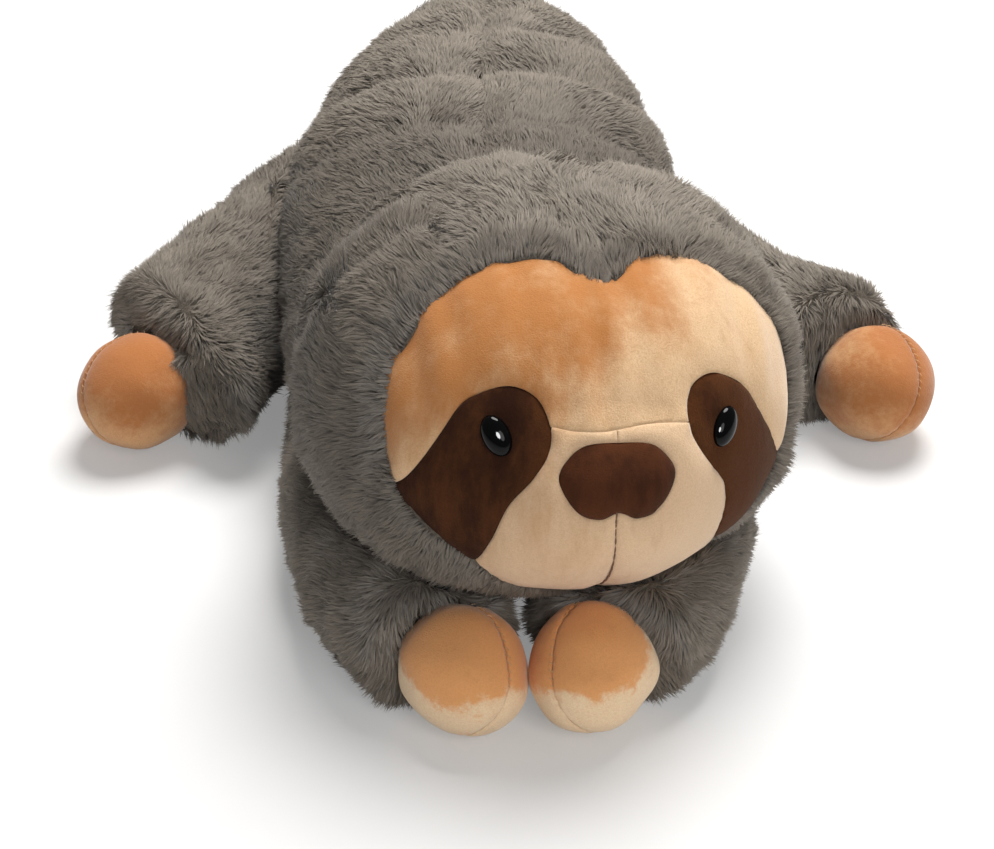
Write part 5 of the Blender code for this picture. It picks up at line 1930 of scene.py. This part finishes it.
    def paw_seam(self) -> None:
        """The hand stitches that close the paw: short slanting threads across its rolled seam."""
        lean = np.linspace(1.15, 2.75, self.stitches)
        ridge = 0.5 * np.pi + self.seam_roll
        centre = self.paw_surface(lean, np.full(lean.shape, ridge), np.full(lean.shape, 0.7 * MM))
        ahead = unit(np.gradient(centre, axis=0))
        side = np.cross(UP, self.forward) * math.sin(ridge) - UP * math.cos(ridge)
        away = unit(centre - self.paw_middle)
        share = np.linspace(-1.0, 1.0, self.stitch_points)[None, :, None]
        lines = (centre[:, None] + side * self.stitch_half * share
                 + ahead[:, None] * 0.5 * self.stitch_half * share
                 + away[:, None] * (0.75 * MM - 0.9 * MM * share**2))
        turn = np.linspace(0.0, 2.0 * np.pi, self.stitch_sides, endpoint=False)[None, None, :, None]
        thick = (self.stitch_radius * np.sqrt(np.clip(1.02 - share**2, 0.0, 1.0)))[..., None]
        ring = ahead[:, None, None] * np.cos(turn) + away[:, None, None] * np.sin(turn)
        points = lines[:, :, None] + ring * thick
        number = np.arange(points[..., 0].size).reshape(points.shape[:3])
        number = np.concatenate([number, number[:, :, :1]], axis=2)
        corners = number[:, :-1, :-1], number[:, 1:, :-1], number[:, 1:, 1:], number[:, :-1, 1:]
        faces = np.stack([corner.ravel() for corner in corners], -1)
        item = make_object(self.body + "_paw_stitches", points.reshape(-1, 3), faces)
        fill_ends(item)
        dress(item, self.body, self.finishes.thread)


def fill_ends(item: Item) -> None:
    """Closes every open ring of a mesh with one face and points its faces outwards.

    Args:
        item: The piece, which is changed.
    """
    shape = bmesh.new()
    shape.from_mesh(item.data)
    bmesh.ops.holes_fill(shape, edges=[edge for edge in shape.edges if edge.is_boundary])
    bmesh.ops.recalc_face_normals(shape, faces=shape.faces)
    shape.to_mesh(item.data)
    shape.free()
    item.data.shade_smooth()


@dataclass(frozen=True)
class Lie:
    """How the limbs of one side lie, in metres and degrees, outwards and back from the middle."""

    elbow: float
    arm_inset: float
    hip_back: float
    knee: tuple[float, float]
    hind_paw_ahead: float
    hind_turn: float
    leg_fullness: float
    hem_share: float


LIES = {
    Side.LEFT: Lie(elbow=63 * MM, arm_inset=0.8 * MM, hip_back=72 * MM, knee=(84 * MM, -6 * MM),
                   hind_paw_ahead=43 * MM, hind_turn=24.0, leg_fullness=4 * MM, hem_share=0.01),
    Side.RIGHT: Lie(elbow=68 * MM, arm_inset=3.4 * MM, hip_back=98 * MM, knee=(112 * MM, 42 * MM),
                    hind_paw_ahead=38 * MM, hind_turn=50.0, leg_fullness=40 * MM, hem_share=1.0),
}
SHOULDER = (62 * MM, -85 * MM)
ELBOW_AHEAD = 188 * MM
FRONT_PAW = (23.4 * MM, -214.5 * MM)
FRONT_TURN = 30.0
ARM_FULLNESS = 20 * MM
HIP_SIDE = 60 * MM
HIND_PAW_SIDE = 150 * MM
LEG_LEAN = math.radians(20.0)
HEM_FULLNESS = (8.5 * MM, 1.5 * MM, 0.5 * MM)
SEAM_ROLL = math.radians(30.0)


def make_limbs(torso: TorsoForm, head: HeadForm, finishes: Finishes) -> list[Limb]:
    """The arms and legs, with their places on each side.

    Args:
        torso: The torso's form.
        head: The head's form.
        finishes: The materials.

    Returns:
        The four limbs.
    """
    limbs = []
    for number, (side, lie) in enumerate(LIES.items()):
        sign = side.value
        flip = np.array((sign, 1.0, 1.0))
        shared = {"side": side, "torso": torso, "head": head, "finishes": finishes}
        x, y = SHOULDER
        limbs.append(Limb(
            body="arm_" + side.word, root=np.array((torso.middle(y) + sign * x, y, 0.0)),
            bend=flip * (lie.elbow, -ELBOW_AHEAD, 0.0), end=flip * (*FRONT_PAW, 0.0),
            radius=27.5 * MM, paw_radius=22.2 * MM, paw_turn=-sign * FRONT_TURN,
            paw_finish=finishes.paw_front, seed=100 + 20 * number, fullness=flip * (-ARM_FULLNESS, 0.0, 0.0),
            seam_roll=sign * SEAM_ROLL, inset=lie.arm_inset, **shared))
        y = lie.hip_back
        lean = flip * (-math.sin(LEG_LEAN), -math.cos(LEG_LEAN), 0.0)
        limbs.append(Limb(
            body="leg_" + side.word, root=np.array((torso.middle(y) + sign * HIP_SIDE, y, 0.0)),
            bend=flip * (*lie.knee, 0.0), end=flip * (HIND_PAW_SIDE, -lie.hind_paw_ahead, 0.0),
            radius=33.5 * MM, paw_radius=23.5 * MM, paw_turn=sign * lie.hind_turn,
            paw_finish=finishes.paw_hind_shaded, seed=200 + 20 * number, fullness=lean * lie.leg_fullness,
            hem_fullness=flip * HEM_FULLNESS * lie.hem_share, seam_roll=-sign * SEAM_ROLL, inset=4.2 * MM,
            crease_shade=2.6, crease_reach=2.05, **shared))
    return limbs


# Studio


@dataclass(frozen=True)
class Lamp:
    """A soft round lamp that looks at the toy. A catch light only shows in reflections."""

    name: str
    place: tuple[float, float, float]
    size: float
    power: float
    colour: tuple[float, float, float] = (1.0, 1.0, 1.0)
    catch: bool = False

    def make(self, target: Vector) -> None:
        """Hangs the lamp and turns it to the target.

        Args:
            target: The place that it looks at.
        """
        data = bpy.data.lights.new(self.name, "AREA")
        data.shape = "DISK"
        data.size = self.size
        data.energy = self.power
        data.color = self.colour
        place = Vector(self.place)
        aim(self.name, data, place, target - place).visible_diffuse = not self.catch


def aim(name: str, data: Any, place: Vector, way: Vector) -> Item:
    """A lamp or camera at a place, looking along a way with its top up.

    Args:
        name: Its name.
        data: The lamp's or camera's data.
        place: Where it hangs.
        way: Which way it looks.

    Returns:
        The object.
    """
    item = bpy.data.objects.new(name, data)
    item.location = place
    item.rotation_mode = "QUATERNION"
    item.rotation_quaternion = way.to_track_quat("-Z", "Y")
    bpy.context.scene.collection.objects.link(item)
    return item


@dataclass
class Studio:
    """The floor, the lamps, the pale surroundings and the camera."""

    azimuth: float = -2.08
    elevation: float = 35.0
    distance: float = 0.887
    target: Vector = field(default_factory=lambda: Vector((-0.0088, -0.1563, 0.085)))
    lamp_target: Vector = field(default_factory=lambda: Vector((0.0, -0.05, 0.05)))
    lens: float = 90.0
    floor_reach: float = 6.0
    floor_glow: float = 0.25
    ambient: float = 0.16
    lamps: tuple[Lamp, ...] = (
        Lamp("key", (0.28, 0.55, 1.6), 1.0, 41.0, (1.0, 0.985, 0.965)),
        Lamp("front", (0.50, -1.50, 1.10), 0.9, 9.0, (1.0, 0.99, 0.98)),
        Lamp("catch", (-0.05, -1.5, 1.0), 0.5, 40.0, catch=True),
    )

    def build(self) -> None:
        """Sets the stage."""
        self.floor()
        self.world()
        for lamp in self.lamps:
            lamp.make(self.lamp_target)
        self.camera()
        bpy.context.scene.view_settings.view_transform = "Standard"

    def floor(self) -> None:
        """A wide pale floor that keeps the toy's shadow and is white where nothing shades it."""
        corners = np.array(((-1, -1, 0), (1, -1, 0), (1, 1, 0), (-1, 1, 0))) * self.floor_reach
        item = make_object("floor", corners, np.array(((0, 1, 2, 3),)), weld=False)
        tree = Tree("white_floor")
        seen = tree.add("ShaderNodeLightPath", output="Is Camera Ray")
        paper = tree.noise(tree.place(), 40 * MM)
        colour = tree.mix(paper, rgb(233, 233, 233), rgb(237, 237, 237))
        matte = tree.add("ShaderNodeBsdfDiffuse", inputs={"Color": colour})
        white = tree.add("ShaderNodeEmission", inputs={"Color": WHITE, "Strength": 1.0})
        both = tree.add("ShaderNodeMixShader", inputs={0: seen * self.floor_glow, 1: matte, 2: white})
        tree.add("ShaderNodeOutputMaterial", inputs={"Surface": both})
        item.data.materials.append(tree.owner)

    def world(self) -> None:
        """Even pale surroundings, which the camera sees as white."""
        tree = Tree("studio_world", bpy.data.worlds)
        seen = tree.add("ShaderNodeLightPath", output="Is Camera Ray")
        strength = tree.add("ShaderNodeMix", {"data_type": "FLOAT"}, {0: seen, 2: self.ambient, 3: 1.0})
        ground = tree.add("ShaderNodeBackground", inputs={"Color": WHITE, "Strength": strength})
        tree.add("ShaderNodeOutputWorld", inputs={"Surface": ground})
        bpy.context.scene.world = tree.owner

    def camera(self) -> None:
        """The camera at the photograph's angle."""
        data = bpy.data.cameras.new("camera")
        data.lens = self.lens
        data.sensor_width = 36.0
        data.clip_start = 0.05
        a, e = math.radians(self.azimuth), math.radians(self.elevation)
        back = Vector((math.sin(a) * math.cos(e), -math.cos(a) * math.cos(e), math.sin(e)))
        bpy.context.scene.camera = aim("camera", data, self.target + back * self.distance, -back)


def finish_cad_nodes() -> None:
    """Gives the washers behind the eyes, which stay as imported, their moulded plastic."""
    tree = Tree("washer_moulding")
    grain = tree.noise(tree.place(), 0.8 * MM)
    colour = tree.mix(grain, rgb(214, 214, 210), rgb(226, 226, 222))
    rough, normal = grain * 0.1 + 0.4, tree.bump(grain, 0.05 * MM)
    material = tree.principled(Base_Color=colour, Roughness=rough, Normal=normal)
    for side in Side:
        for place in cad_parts["eye_washer_" + side.word].material_slots:
            place.material = material


def main() -> None:
    """Builds the toy and the studio in order, and reports each piece."""
    logging.basicConfig(level=logging.INFO, format="%(message)s")
    finishes = Finishes()
    torso, head = TorsoForm(), HeadForm()
    Torso(torso, head, finishes).build()
    Head(head, finishes).build()
    for limb in make_limbs(torso, head, finishes):
        limb.build()
    finish_cad_nodes()
    Studio().build()


if __name__ == "__main__":
    main()
